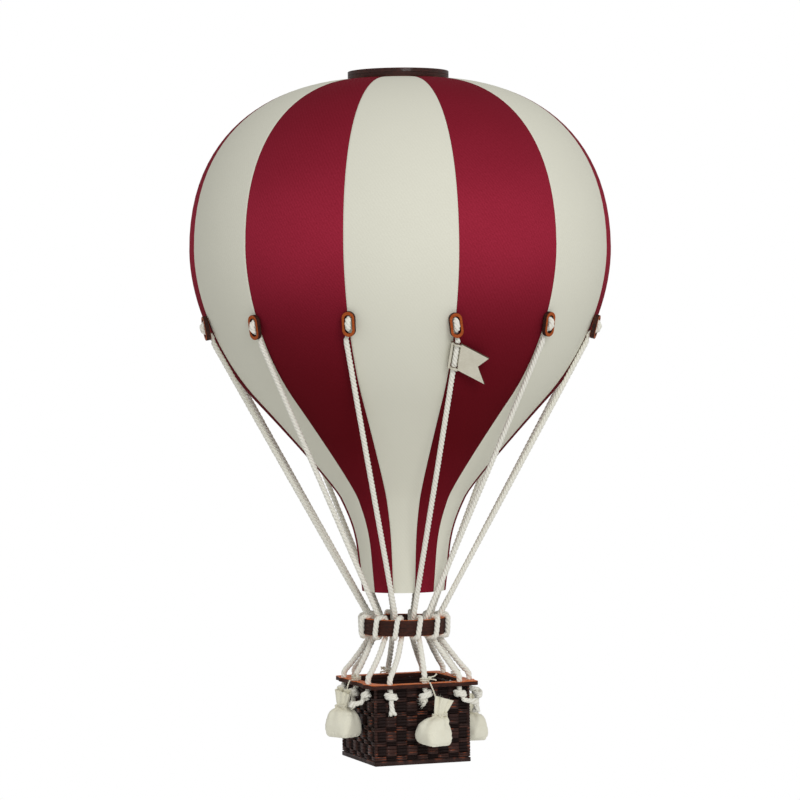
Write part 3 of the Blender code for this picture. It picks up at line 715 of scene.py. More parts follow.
# %% Where the ropes run
ROPE, ROPE_PINCHED, ROPE_TIGHT, ROPE_GAP = 2.15 * MM, 1.4 * MM, 2.0 * MM, 0.3 * MM
WRAP_SHIFT, WRAP_SLACK, BESIDE_OUT = 2.6 * MM, 1.8 * MM, 5.2 * MM
BASKET_TURN, BASKET_HALF = radians(20.0), 35.5 * MM
RIM_THICKNESS, RIM_TOP = 3.0 * MM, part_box("basket_rim")[1].z
RIM_SHIFT = Vector((0.9 * MM, 0.0, 0.0))
HOLE_OUT, HOLE_SPACING = 38.0 * MM, 26.0 * MM
KNOT, KNOT_WIDE, KNOT_ROPE = 3.9 * MM, 5.3 * MM, 1.5 * MM
KNOT_TURNS, KNOT_STEPS, KNOT_SLANTS = 1.75, 20, (0.9, -0.7, 1.1, -1.0)
TAIL_START = 4.6 * MM
ARC_STEPS = 3
# how much flatter than round the rope lies on the ring's upper and lower corners
OVER_FLAT, UNDER_FLAT = 0.78, 0.55


def corner_arc(centre, first, last, shift_first, shift_last, steps=ARC_STEPS):
    """Points round one corner of the lower ring's section: out, up and along the ring."""
    reach = ROPE_TIGHT + 0.1 * MM
    points = []
    for step in range(steps + 1):
        share = step / steps
        angle = radians(first + share * (last - first))
        up = reach * sin(angle) * (OVER_FLAT if sin(angle) > 0 else UNDER_FLAT)
        shift = shift_first + share * (shift_last - shift_first)
        points.append((centre[0] + reach * cos(angle), centre[1] + up, shift))
    return points


def ring_turn(rope):
    """The way down inside the lower ring, under it, up outside, over it and down inside again."""
    low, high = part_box("load_ring")
    outer, inner = high.x, high.x - HOOP_WALLS["load_ring"]
    top, bottom, far = high.z, low.z, WRAP_SHIFT
    arrive = inner - ROPE - ROPE_GAP
    first, last = rope.arrive * MM - far, rope.leave * MM + far
    # the ropes at the two sides come in over the ring's edge, those at the front and back well inside it
    beside = abs(sin(radians(rope.azimuth)))
    enter = arrive - WRAP_SLACK + beside * BESIDE_OUT
    return (
        [(enter, top + (1.0 + 1.4 * beside) * MM, first), (arrive - 0.5 * WRAP_SLACK, top - 4.0 * MM, first)]
        + corner_arc((inner, bottom), 180, 270, -far, -0.8 * far)
        + corner_arc((outer, bottom), 270, 360, -0.5 * far, -0.2 * far)
        + corner_arc((outer, top), 0, 90, 0.5 * far, 0.6 * far + 0.2 * last)
        + corner_arc((inner, top), 90, 180, 0.9 * last, last)
        + corner_arc((inner, bottom), 180, 208, last, last, 1)
    )


def side_frame(side):
    """A frame on one side of the basket, about the part's axis: X along the side, Y out from it and Z up."""
    azimuth = BASKET_TURN + side * pi / 2
    return Matrix((-sideways(azimuth), outward(azimuth), UP)).transposed().to_4x4()


def on_side(side, along, out, up):
    """A point on one side of the basket; along grows with the azimuth."""
    return side_frame(side) @ Vector((-along, out, up))


def at_hole(side, along, out, up):
    """The same for what goes with the rim, which lies a little to one side of the basket."""
    return on_side(side, along, out, up) + RIM_SHIFT


def rope_way(rope):
    """A rope's way from its link to just under the rim, as (point, radius) pairs."""
    place = link_frame(rope)
    half, slot_end, pinched = LINK_THICKNESS / 2, SLOT_LENGTH / 2, ROPE_PINCHED + ROPE_GAP
    behind = half + pinched
    way = []
    # how much of aside, up the link and out from it, in the link's own frame, with the rope's radius there
    for aside, along, out, radius in (
        (0.0, 3.7 * MM, -0.2 * MM, ROPE),
        (0.0, 2.8 * MM, 1.4 * MM, ROPE),
        (0.0, 1.3 * MM, 2.5 * MM, ROPE),
        (0.0, -0.5 * MM, 2.6 * MM, ROPE),
        (0.0, -2.1 * MM, 1.6 * MM, ROPE),
        (0.1, -slot_end + pinched + 0.8 * MM, 0.0, ROPE_PINCHED * 1.15),
        (0.2, -slot_end + pinched, -half, ROPE_PINCHED),
        (0.3, -slot_end + 0.7 * pinched, -half - 0.7 * pinched, ROPE_PINCHED),
        (0.5, -slot_end - 0.5 * MM, -behind, ROPE_PINCHED),
        (0.8, -LINK_LENGTH / 2 - 0.6 * MM, -behind, ROPE_PINCHED),
        (1.0, -LINK_LENGTH / 2 - (3.6 - rope.lift / 2) * MM, -behind + (rope.lift - 0.2) * MM, ROPE * 0.9),
    ):
        way.append((place @ Vector((rope.aside * aside * MM, along, out)), radius))
    wrap = radians(rope.azimuth + rope.wrap)
    way += [(at(wrap, out, up, shift), ROPE_TIGHT) for out, up, shift in ring_turn(rope)]
    hole = rope.hole * HOLE_SPACING
    above = at_hole(rope.side, hole, HOLE_OUT, RIM_TOP + 4.0 * MM)
    leave = way[-1][0]
    inward = leave - above
    inward.z = 0.0
    sag = inward.normalized() * rope.sag * MM
    way += [(leave.lerp(above, 0.45) + sag, ROPE), (leave.lerp(above, 0.8) + sag * 0.55, ROPE), (above, ROPE)]
    under = at_hole(rope.side, hole, HOLE_OUT, RIM_TOP - RIM_THICKNESS - 0.7 * MM)
    way.append((under, ROPE * 0.95))
    if rope.knot > 0.0:
        way.append((at_hole(rope.side, hole, HOLE_OUT + 1.0 * MM, under.z - 2.6 * MM), ROPE * 0.95))
    return way


def knot_way(rope, slant):
    """The knot under the rim: the rope drops as a core, climbs round itself for nearly two turns, and its
    tail leaves below."""
    out = max(HOLE_OUT, BASKET_HALF + ROPE_GAP + KNOT) + rope.knot * MM
    middle = RIM_TOP - RIM_THICKNESS - ROPE_GAP - 1.25 * KNOT - 0.35 * rope.knot * MM
    wide, deep = KNOT_WIDE - KNOT_ROPE, KNOT - KNOT_ROPE

    def place(along, away, up):
        return at_hole(rope.side, rope.hole * HOLE_SPACING + along, out + away, middle + up)

    way = [
        (place(0.0, -0.3 * MM, 0.55 * KNOT), KNOT_ROPE),
        (place(-0.4 * MM, -0.6 * MM, -0.3 * KNOT), KNOT_ROPE * 0.9),
    ]
    for step in range(KNOT_STEPS + 1):
        share = step / KNOT_STEPS
        angle = radians(-150) + share * KNOT_TURNS * 2 * pi
        up = (share - 0.5) * 3.4 * MM + slant * sin(angle) * MM
        near = 0.80 + 0.20 * min(1.0, 4 * share, 4 * (1 - share))
        way.append((place(near * wide * sin(angle), near * deep * cos(angle), up), KNOT_ROPE))
    lean, away, tail = rope.lean * MM, rope.away * MM, rope.tail * MM
    return way + [
        (place(lean * 0.12, 0.2 * deep + away * 0.15, -0.2 * KNOT), KNOT_ROPE),
        (place(lean * 0.25, away * 0.3, -TAIL_START), 0.85 * ROPE),
        (place(lean * 0.6, away * 0.65, -TAIL_START - 0.4 * tail), 0.88 * ROPE),
        (place(lean, away, -TAIL_START - 0.8 * tail), 1.1 * ROPE),
    ]


def smooth_way(way, spacing):
    """A way of (point, radius) pairs as a smooth curve through them, with even steps."""
    points, radii = zip(*way)
    fine = []
    for index in range(len(points) - 1):
        before = points[max(index - 1, 0)]
        start, end = points[index], points[index + 1]
        after = points[min(index + 2, len(points) - 1)]
        reach = (end - start).length
        back = max((start - before).length, 1e-6)
        ahead = max((after - end).length, 1e-6)
        leave = (end - before) / (reach + back) * reach if index else end - start
        arrive = (after - start) / (reach + ahead) * reach if index < len(points) - 2 else end - start
        steps = max(2, int(reach / (0.35 * spacing)))
        for step in range(steps):
            t = step / steps
            ease = 3 * t**2 - 2 * t**3
            point = (
                start * (2 * t**3 - 3 * t**2 + 1) + leave * (t**3 - 2 * t**2 + t)
                + end * ease + arrive * (t**3 - t**2)
            )
            fine.append((point, radii[index] + (radii[index + 1] - radii[index]) * ease))
    fine.append((points[-1], radii[-1]))
    even = [fine[0]]
    carried = 0.0
    for (first, _), (second, radius) in zip(fine, fine[1:]):
        carried += (second - first).length
        if carried >= spacing:
            even.append((second, radius))
            carried = 0.0
    if carried > 0.3 * spacing:
        even.append(fine[-1])
    return even


# %% [markdown]
# ## Cotton rope
# The rope is three strands of soft cotton laid together. From a step away the lay shows as slanting lumps
# along both edges, which a round tube with a bump cannot give, so each strand is its own thin tube that winds
# round the way. The fibres in a strand are too fine for a mesh and come from noise drawn out along it.

# %% Cotton rope
LAY, ROPE_STEP = 9.4 * MM, 0.9 * MM
STRANDS, STRAND_SIDES = 3, 7
# of the rope's radius: how far out a strand lies, how thick it is and how far out it opens when frayed
STRAND_OUT, STRAND_THICK, STRAND_OPEN = 0.45, 0.56, 0.35
FIBRE_THICK = 0.16 * MM


def fibre_finish(name, light, shade, size, bump):
    """Soft cotton: fine fibres along a strand, and shade down in the grooves between strands."""
    finish = Finish(name, Sheen_Weight=0.05, Sheen_Roughness=0.5, Specular_IOR_Level=0.05)
    place = finish.flat_place()
    fibres = finish.grain(place, size, 3.0, (1.0, 9.0, 1.0))
    slubs = finish.grain(place, 3.5 * MM, 2.0, (1.0, 2.5, 1.0))
    shading = fibres * 0.35 + slubs * 0.25 + finish.mark("groove") * 0.38
    colour = finish.mix(shading.between(0.22, 1.0), light, shade)
    finish.feed(Base_Color=colour, Roughness=0.78 + fibres * 0.18)
    finish.bump(fibres * 0.8 + slubs * 0.6, bump, 0.8)
    return finish


COTTON = fibre_finish("cotton_rope_fibre", (0.90, 0.885, 0.80), (0.58, 0.54, 0.45), 0.16 * MM, 0.08 * MM)
STRING_FIBRE = fibre_finish(
    "cotton_string_fibre", (0.84, 0.81, 0.68), (0.50, 0.46, 0.35), 0.12 * MM, 0.04 * MM
)
print("cotton finishes ready")


def carried_frames(points):
    """Two directions square to the way at each point, carried along so that they don't spin, then its own."""
    frames = []
    side = None
    for index in range(len(points)):
        ahead = (points[min(index + 1, len(points) - 1)] - points[max(index - 1, 0)]).normalized()
        if side is None:
            side = ahead.orthogonal().normalized()
        side = (side - ahead * side.dot(ahead)).normalized()
        frames.append((side, ahead.cross(side), ahead))
    return frames


def lay_strands(shape, way, strands, lay, sides, spacing, start, fray):
    """Winds strands round a smooth way; over the last stretch, as long as fray, they open out."""
    even = smooth_way(way, spacing)
    points = [point for point, _ in even]
    frames, lengths = carried_frames(points), running(points)
    for strand in range(strands):
        centres = []
        for (point, radius), (side, over, _), length in zip(even, frames, lengths):
            angle = start + 2 * pi * (strand / strands - length / lay)
            open_out = max(0.0, 1 - (lengths[-1] - length) / fray)
            reach = radius * (STRAND_OUT + STRAND_OPEN * open_out)
            centres.append(point + (side * cos(angle) + over * sin(angle)) * reach)
        rings, grooves = [], []
        own = carried_frames(centres)
        for (point, radius), centre, (side, over, _), length in zip(even, centres, own, lengths):
            away = centre - point
            away = away.normalized() if away.length > 1e-7 else side
            swell = 1.0 + 0.06 * noise.noise(Vector((length * 900, strand * 7.0, start)))
            turns = [tau * step / sides for step in range(sides)]
            directions = [side * cos(angle) + over * sin(angle) for angle in turns]
            rings.append([centre + direction * radius * STRAND_THICK * swell for direction in directions])
            grooves.append([max(0.0, 0.35 - direction.dot(away)) for direction in directions])
        shape.skin(rings, marks={"groove": lambda row, place: grooves[row][place]})
    return points, frames[-1][2], even[-1][1], lengths[-1]


def fray_end(shape, point, ahead, radius, count, length, seed, marks, thick=FIBRE_THICK):
    """A brush of loose fibres at a cut end."""
    chance = random.Random(seed)
    side = ahead.orthogonal().normalized()
    over = ahead.cross(side)
    for _ in range(count):
        angle = chance.uniform(0, 2 * pi)
        out = side * cos(angle) + over * sin(angle)
        root = point + out * radius * sqrt(chance.random()) - ahead * 0.8 * MM
        reach = length * chance.uniform(0.55, 1.0)
        way = (ahead + out * chance.uniform(0.05, 0.75)).normalized()
        bend = out * reach * chance.uniform(-0.1, 0.3)
        rings = []
        for share in (0.0, 0.25, 0.5, 0.75, 1.0):
            centre = root + way * reach * share + bend * share * share
            thin = thick * (1 - 0.75 * share)
            turns = [corner * pi / 2 for corner in range(4)]
            rings.append([centre + (side * cos(turn) + over * sin(turn)) * thin for turn in turns])
        shape.skin(rings, marks=marks)


def make_rope(number, rope):
    way = rope_way(rope) + knot_way(rope, KNOT_SLANTS[number % 4])
    shape = Shape()
    brush = rope.brush * MM
    points, ahead, radius, length = lay_strands(
        shape, way, STRANDS, LAY, STRAND_SIDES, ROPE_STEP, start=number * 1.7, fray=1.3 * brush
    )
    fibres = int(13 * rope.brush)
    fray_end(shape, points[-1], ahead, 1.1 * radius, fibres, 0.8 * brush, seed=number, marks={"groove": 0.0})
    shape.piece(f"laid_rope_{number + 1:02d}", COTTON, f"rope_{number + 1:02d}", sharp=80)
    print("rope", number + 1, "faces", len(shape.faces), "length", round(length, 4))


for number, rope in enumerate(ROPES):
    make_link(number, rope)
    make_rope(number, rope)

# %% [markdown]
# ## Woven basket
# The basket's walls are bands of thin dark strips that weave in and out: three wide strips pass in front
# where two narrow ones pass behind, column by column. The weave is deep enough to cast shadow, so every strip
# is a real ribbon on a wavy way round the square, and a lining closes the wall behind them. The mesh also
# marks how far forward each point lies, and where a strip dives behind, its colour is painted nearly black,
# as painted shade in the recess.

# %% Woven basket
COLUMNS, COURSES = 9, 5
FOOT, SHORT, TALL = 3.6 * MM, 3.0 * MM, 7.1 * MM
STRIP_THICKNESS, STRIP_EDGE, STRIP_SLACK = 1.1 * MM, 0.24 * MM, 0.07 * MM
STRIP_OUT, STRIP_IN, STRIP_BOW = 0.55 * MM, 2.9 * MM, 0.22 * MM
STRIP_SAMPLES = 11
CORNER = 1.0 * MM
LINING, LINING_CORNER, LINING_ROWS = 32.9 * MM, 1.2 * MM, 22
BASKET_GROWTH = 1.018
BASKET_BOTTOM = CAD_BOX[0][2]
BASKET_TOP = RIM_TOP - RIM_THICKNESS - 0.02 * MM
COLUMN = 2 * (BASKET_HALF - 0.9 * MM) / COLUMNS


def strip_finish():
    """Dark stained strips under a gloss, orange on upper edges in patches, and painted shade where a strip
    lies back.
    """
    finish = Finish("dark_strips", Coat_Roughness=0.12, Specular_IOR_Level=0.08)
    streaks = finish.grain(finish.flat_place(), 0.35 * MM, 4.0, (1.0, 22.0, 1.0))
    patch = finish.grain(finish.object_place(), 7 * MM, 2.0)
    worn, tint, front = finish.mark("worn"), finish.mark("tint"), finish.mark("front")
    wood = finish.mix(streaks.between(0.3, 0.75), (0.019, 0.0105, 0.0095), (0.044, 0.023, 0.0195))
    wood = finish.mix(tint ** 2.0 * 0.5, wood, (0.076, 0.030, 0.022))
    # the upper edges of the strips turn orange in patches
    lively = finish.mix((worn * patch.between(0.50, 0.66)) ** 1.2, wood, (0.46, 0.105, 0.038))
    # painted shade: where a strip lies back its colour goes nearly black
    finish.feed(
        Base_Color=finish.mix(front.between(0.15, 0.85), (0.017, 0.0095, 0.0085), lively),
        Roughness=0.30 + streaks * 0.22 + patch * 0.12,
        Coat_Weight=front * patch.between(0.45, 0.7) * 0.35,
    )
    finish.bump(streaks, 0.10 * MM, 0.6)
    return finish


STRIPS = strip_finish()


def weave_way(tall):
    """A course's way round the basket, as (point without height, direction out, how far forward) rows."""
    way = []
    reach = 0.72 * (STRIP_IN - STRIP_OUT) / 2
    straight = BASKET_HALF - STRIP_OUT - CORNER
    steps = COLUMNS * STRIP_SAMPLES
    for side in range(4):
        azimuth = BASKET_TURN + side * pi / 2
        for step in range(steps + 1):
            along = COLUMN * COLUMNS * (step / steps - 0.5)
            beat = cos(pi * along / COLUMN) if abs(along) < COLUMN * COLUMNS / 2 else 0.0
            front = max(-1.0, min(1.0, 3.2 * (-beat if tall else beat)))
            near_corner = max(0.0, 1 - (straight - abs(along)) / (1.6 * MM))
            front = max(front, 2 * near_corner - 1) if near_corner > 0 else front
            bow = STRIP_BOW * (1 - abs(beat)) if front > 0 else 0.0
            if abs(along) <= straight:
                out = BASKET_HALF - STRIP_OUT - reach * (1 - front) - bow
                way.append((at(azimuth, out, 0.0, along), outward(azimuth), (front + 1) / 2))
        for step in range(1, 5):
            away = outward(azimuth + step / 5 * pi / 2)
            way.append((at(azimuth, straight, 0.0, straight) + away * CORNER, away, 1.0))
    return way


def lay_strip(shape, way, low, high, tint):
    """A ribbon with eased edges along the way, between two heights."""
    half, edge = STRIP_THICKNESS / 2, STRIP_EDGE
    # distance out, height and how orange the upper edge is
    section = (
        (half, low + edge, 0.0), (half * 1.10, (low + high) / 2, 0.0), (half, high - edge, 0.5),
        (half - edge, high, 1.0), (-half + edge, high, 0.8), (-half, high - edge, 0.0),
        (-half, low + edge, 0.0), (-half + edge, low, 0.0), (half - edge, low, 0.0),
    )
    rings = []
    for point, away, _ in way:
        wander = 0.12 * MM * noise.noise(point * 160 + UP * (low * 900))
        rings.append([point + away * out + UP * (height + wander) for out, height, _ in section])
    marks = {"worn": [row[2] for row in section], "tint": tint, "front": lambda row, place: way[row][2]}
    shape.skin(rings, loop=True, marks=marks)


def wall_ring(half, corner, height, steps=5):
    """Points round a square with round corners, turned as the basket is."""
    points = []
    for side in range(4):
        azimuth = BASKET_TURN + side * pi / 2
        centre = at(azimuth, half - corner, 0.0, half - corner)
        for step in range(steps + 1):
            points.append(centre + outward(azimuth + step / steps * pi / 2) * corner + UP * height)
    return points


def lay_rings(shape, rows, tint, front):
    """A skin over (half, corner, height, orange edge) rings."""
    marks = {"worn": lambda row, place: rows[row][3], "tint": tint, "front": front}
    shape.skin([wall_ring(*row[:3]) for row in rows], marks=marks)


def lining_rings(floor):
    """The lining seen from inside: rows of strips that bulge inward, then the plain back of it."""
    rings = []
    inner, tall = LINING - STRIP_THICKNESS, (BASKET_TOP - floor) / LINING_ROWS
    for row in range(LINING_ROWS):
        low = floor + (BASKET_TOP - floor) * row / LINING_ROWS
        for share, bulge in ((0.04, 0.0), (0.22, 0.5), (0.78, 0.5), (0.96, 0.0)):
            rings.append(wall_ring(inner + (0.35 - bulge) * MM, LINING_CORNER, low + share * tall))
    return rings + [wall_ring(LINING, LINING_CORNER, height) for height in (BASKET_TOP, floor + 0.01 * MM)]


def make_basket():
    shape = Shape()
    chance = random.Random(5)
    tall, short = weave_way(True), weave_way(False)
    for course in range(COURSES):
        low = BASKET_BOTTOM + FOOT + course * (SHORT + TALL)
        for count, begin, height, way in ((2, low, SHORT, short), (3, low + SHORT, TALL, tall)):
            thick = (min(begin + height, BASKET_TOP) - begin) / count
            for strip in range(count):
                bottom = begin + strip * thick
                lay_strip(shape, way, bottom + STRIP_SLACK, bottom + thick - STRIP_SLACK, chance.random())
    half, bottom, floor = BASKET_HALF, BASKET_BOTTOM, BASKET_BOTTOM + 3.0 * MM
    last = 4 * LINING_ROWS - 1
    # the lining gets a low forward mark, so it is painted darker as shade inside the basket, darkest on its
    # plain back at the bottom
    marks = {"worn": 0.0, "tint": 0.6, "front": lambda row, place: 0.62 if row < last else 0.1}
    shape.skin(lining_rings(floor), loop=True, marks=marks)
    plate = (
        (half - 0.3 * MM, 0.5 * MM, bottom, 0.0), (half, 0.8 * MM, bottom + 0.3 * MM, 0.0),
        (half, 0.8 * MM, floor - 0.3 * MM, 0.15), (half - 0.3 * MM, 0.5 * MM, floor, 0.8),
    )
    lay_rings(shape, plate, 0.2, 0.9)
    # the foot sits back under the plate, and its low forward mark paints it darker as shade
    foot = (
        (half - 1.0 * MM, 0.8 * MM, floor + 0.01 * MM, 0.0),
        (half - 1.0 * MM, 0.8 * MM, bottom + FOOT - 0.05 * MM, 0.2),
    )
    lay_rings(shape, foot, 0.1, 0.4)
    hung = UP * (RIM_TOP - RIM_THICKNESS)
    shape.points = [hung + (point - hung) * BASKET_GROWTH for point in shape.points]
    shape.piece("woven_basket", STRIPS, "basket", sharp=50)
    print("basket faces", len(shape.faces))


make_basket()

# %% [markdown]
# ## Rim
# A flat plywood frame lies on the basket's edge. Its outline swells at each rope hole and its inner corners
# are wide arcs. Blender's 2D curves fill such an outline with holes and round its edges in one step, which is
# simpler than cutting a board by Booleans, so the curve is built and then kept as a mesh.

# %% Rim
RIM_HALF, RIM_BULGE, RIM_CORNER, RIM_CORNER_STEPS = 40.4 * MM, 1.6 * MM, 3.0 * MM, 8
RIM_INNER_HALF, RIM_INNER_CORNER, RIM_INNER_STEPS = 33.4 * MM, 13.0 * MM, 12
RIM_EDGE, SWELL_REACH, SWELL_STEPS = 0.3 * MM, 5.2 * MM, 6
HOLE_RADIUS, HOLE_STEPS = 2.4 * MM, 20


def all_round(points):
    """Points of one quarter, turned to all four."""
    return [Matrix.Rotation(quarter * pi / 2, 2) @ Vector(point) for quarter in range(4) for point in points]


def corner_points(half, corner, steps, count):
    """The inner points of a rounded corner, whose arc has so many steps."""
    angles = [step / steps * pi / 2 for step in count]
    return [(half - corner + corner * cos(angle), half - corner + corner * sin(angle)) for angle in angles]


def rim_outlines():
    """The outline of the rim, of its opening and of each rope hole."""
    edge = []
    for hole in (-1, 0, 1):
        for step in range(-SWELL_STEPS, SWELL_STEPS + 1):
            swell = RIM_BULGE * cos(step / SWELL_STEPS * pi / 2)
            edge.append((RIM_HALF + swell, hole * HOLE_SPACING + step / SWELL_STEPS * SWELL_REACH))
    edge += corner_points(RIM_HALF, RIM_CORNER, RIM_CORNER_STEPS, range(1, RIM_CORNER_STEPS))
    inside = corner_points(RIM_INNER_HALF, RIM_INNER_CORNER, RIM_INNER_STEPS, range(RIM_INNER_STEPS + 1))
    outlines = [all_round(edge), all_round(inside)]
    turns = [step * (tau / HOLE_STEPS) for step in range(HOLE_STEPS)]
    for centre in all_round([(HOLE_OUT, hole * HOLE_SPACING) for hole in (-1, 0, 1)]):
        outlines.append([centre + Vector((cos(turn), sin(turn))) * HOLE_RADIUS for turn in turns])
    return outlines


def make_rim():
    data = bpy.data.curves.new("rim_outline", "CURVE")
    data.dimensions, data.fill_mode = "2D", "BOTH"
    data.extrude = RIM_THICKNESS / 2 - RIM_EDGE
    data.bevel_depth, data.bevel_resolution, data.offset = RIM_EDGE, 1, -RIM_EDGE
    for outline in rim_outlines():
        spline = data.splines.new("POLY")
        spline.points.add(len(outline) - 1)
        spline.use_cyclic_u = True
        for target, point in zip(spline.points, outline):
            target.co = (*point, 0.0, 1.0)
    curve = add_object("rim_outline", data)
    bpy.context.view_layer.update()
    mesh = bpy.data.meshes.new_from_object(evaluated(curve))
    bpy.data.objects.remove(curve)
    bm = bmesh.new()
    bm.from_mesh(mesh)
    bmesh.ops.remove_doubles(bm, verts=bm.verts, dist=0.005 * MM)
    bmesh.ops.recalc_face_normals(bm, faces=bm.faces)
    lift = UP * (RIM_TOP - RIM_THICKNESS / 2)
    bm.transform(Matrix.Translation(RIM_SHIFT + lift) @ Matrix.Rotation(BASKET_TURN, 4, "Z"))
    shape = Shape()
    shape.points = [vert.co.copy() for vert in bm.verts]
    shape.faces = [tuple(vert.index for vert in face.verts) for face in bm.faces]
    shape.flat = [(vert.co.x, vert.co.y) for face in bm.faces for vert in face.verts]
    bottom = RIM_TOP - RIM_THICKNESS
    shape.marks["depth"] = {vert.index: vert.co.z - bottom for vert in bm.verts}
    shape.marks["cut"] = {vert.index: float(vert.co.z < RIM_TOP - 0.1 * MM) for vert in bm.verts}
    bm.free()
    # the rim takes the plywood copy painted lighter, as painted light
    shape.piece("plywood_rim", PLYWOOD_PAINTED_LIGHT, "basket_rim", sharp=40)
    print("rim faces", len(shape.faces))


make_rim()

# %% [markdown]
# ## Muslin
# The sandbags are sewn from unbleached muslin, a thin plain weave. Its threads are far too fine to model, so
# they are two crossed waves in the bump, and the folds and the shape come from real geometry. Near the neck
# and inside the frill the cloth is painted darker, as painted shade.

# %% Muslin
THREAD = 0.42 * MM


def muslin_finish():
    finish = Finish("unbleached_muslin", Sheen_Weight=0.15, Sheen_Roughness=0.5, Specular_IOR_Level=0.15)
    across, along = [(part * (tau / THREAD)).sine() for part in finish.metres()]
    place = finish.object_place()
    slubs = finish.grain(place, 0.7 * MM, 3.0)
    cloud = finish.grain(place, 6 * MM, 2.0)
    # besides the cloth's own uneven slubs and cloud, the deep mark paints shade near the neck and inside the
    # frill
    shading = slubs * 0.35 + cloud * 0.35 + finish.mark("deep") * 0.8
    colour = finish.mix(shading.between(0.25, 1.2), (0.85, 0.83, 0.69), (0.62, 0.565, 0.41))
    finish.feed(Base_Color=colour, Roughness=0.80 + slubs * 0.15)
    finish.bump(across * along * 0.5 + slubs * 0.7, 0.05 * MM, 0.6)
    return finish


MUSLIN = muslin_finish()
print("muslin ready")

# %% [markdown]
# ## Sandbags
# Each bag is a little sack tied at the neck, with a square bottom and a frayed frill above the string. It is
# lofted from rings with pleats that run out of the neck. Then its belly is filled with air in a cloth
# simulation, which is how real folds get their soft, uneven look; the neck and the bottom seam are held, and
# no point may move far, so that the bag keeps its measured shape. Sculpting by hand would do the same, but
# could not be read.

# %% Sandbags
BAG_OUT, BAG_TOP, BAG_SIDES = 47.7 * MM, -446.2 * MM, 72
# side of the rim; how far along that side its neck is, how far its belly hangs back from that, how far it is
# below BAG_TOP and beyond BAG_OUT, in mm; how far it is turned, in degrees; how long its string's ends are
SANDBAGS = (
    (0, 8.4, 4.6, -1.4, 0.0, 20.0, 1.0),
    (1, 5.4, 0.0, 3.4, 4.2, 35.0, 0.8),
    (2, 6.0, 1.0, 1.0, 0.4, 15.0, 0.4),
    (3, 5.0, -1.6, -6.0, 1.6, 28.0, 0.7),
)
# depth below the top, half width and half depth in mm, corners (2 round, 8 nearly square), depth of pleats
FRILL_RINGS = (
    (0.0, 6.4, 3.6, 2.0, 0.62),
    (1.2, 6.3, 3.4, 2.0, 0.62),
    (3.0, 6.1, 3.2, 2.0, 0.58),
    (5.2, 5.8, 3.0, 2.0, 0.52),
    (7.6, 5.4, 2.9, 2.0, 0.44),
    (9.4, 5.0, 2.8, 2.0, 0.34),
    (10.8, 4.7, 2.8, 2.0, 0.20),
    (11.6, 4.6, 2.8, 2.0, 0.14),
)
BELLY_RINGS = (
    (11.4, 4.4, 2.8, 2.0, 0.18),
    (12.4, 5.2, 3.4, 2.0, 0.32),
    (13.8, 7.2, 5.0, 2.0, 0.36),
    (15.6, 9.0, 6.7, 2.2, 0.28),
    (18.0, 10.2, 8.0, 2.6, 0.18),
    (21.0, 10.8, 8.8, 3.2, 0.10),
    (24.6, 10.9, 9.2, 4.6, 0.045),
    (27.8, 10.6, 9.1, 6.5, 0.014),
    (30.4, 10.0, 8.7, 9.0, 0.0),
    (32.6, 9.2, 8.0, 9.0, 0.0),
    (33.2, 8.5, 7.3, 9.0, 0.0),
)
NECK_AT, BELLY_DROP, FOOT_AT, FOOT_END = FRILL_RINGS[-1][0], 6.0, 20.0, BELLY_RINGS[-1][0]
FRILL_LEAN, FRILL_SLOPE, FRILL_THICKNESS, FOOT_SLOPE = 3.4 * MM, 0.30, 0.32 * MM, 0.50
FRINGE, FRINGE_THICK, LONG_THREAD = 110, 0.07 * MM, 3.4 * MM
# the simulation works on a larger copy, in even squares, and moves no point farther than its limit
SIM_SCALE, SIM_VOXEL, SIM_STEPS, SIM_LIMIT = 12.0, 0.62 * MM, 20, 0.8 * MM
# how deep the seams at the neck and at the foot hold the cloth, in mm
NECK_HELD, FOOT_HELD = 2.2, 0.9
SIM_SETTINGS = {
    "quality": 6, "mass": 0.25, "tension_stiffness": 12.0, "compression_stiffness": 6.0,
    "shear_stiffness": 4.0, "bending_stiffness": 0.15, "use_pressure": True, "uniform_pressure_force": 4.0,
    "shrink_min": -0.07, "shrink_max": -0.07, "vertex_group_mass": "held", "pin_stiffness": 4.0,
}


def bag_ring(bag, row, seed, inset=0.0):
    side, along, back, lower, far, turned, _ = bag
    depth, width, thick, power, folds = row
    above_neck = max(0.0, 1 - depth / NECK_AT)
    below_neck = max(0.0, min(1.0, (depth - NECK_AT) / BELLY_DROP))
    near_foot = max(0.0, (depth - FOOT_AT) / (FOOT_END - FOOT_AT))
    points = []
    spin = radians(turned)
    for step in range(BAG_SIDES):
        angle = 2 * pi * (step + 0.5) / BAG_SIDES
        x, y = cos(angle), sin(angle)
        scale = (abs(x) ** power + abs(y) ** power) ** (-1 / power)
        # the pleats are uneven but closed: the sum of two waves
        fold = folds * (0.45 * cos(7 * angle + seed) + 0.55 * cos(4 * angle + 2.3 * seed))
        x = (width * MM - inset) * x * scale * (1 + 0.35 * fold)
        y = (thick * MM - inset) * y * scale * (1 + fold)
        x, y = x * cos(spin) - y * sin(spin), x * sin(spin) + y * cos(spin)
        sway = (along - back * below_neck) * MM - x + FRILL_LEAN * above_neck
        height = BAG_TOP - (lower + depth) * MM + FRILL_SLOPE * x * above_neck
        height += FOOT_SLOPE * max(0.0, x - 4.0 * MM) * near_foot
        points.append(on_side(side, sway, BAG_OUT + far * MM + y, height))
    return points


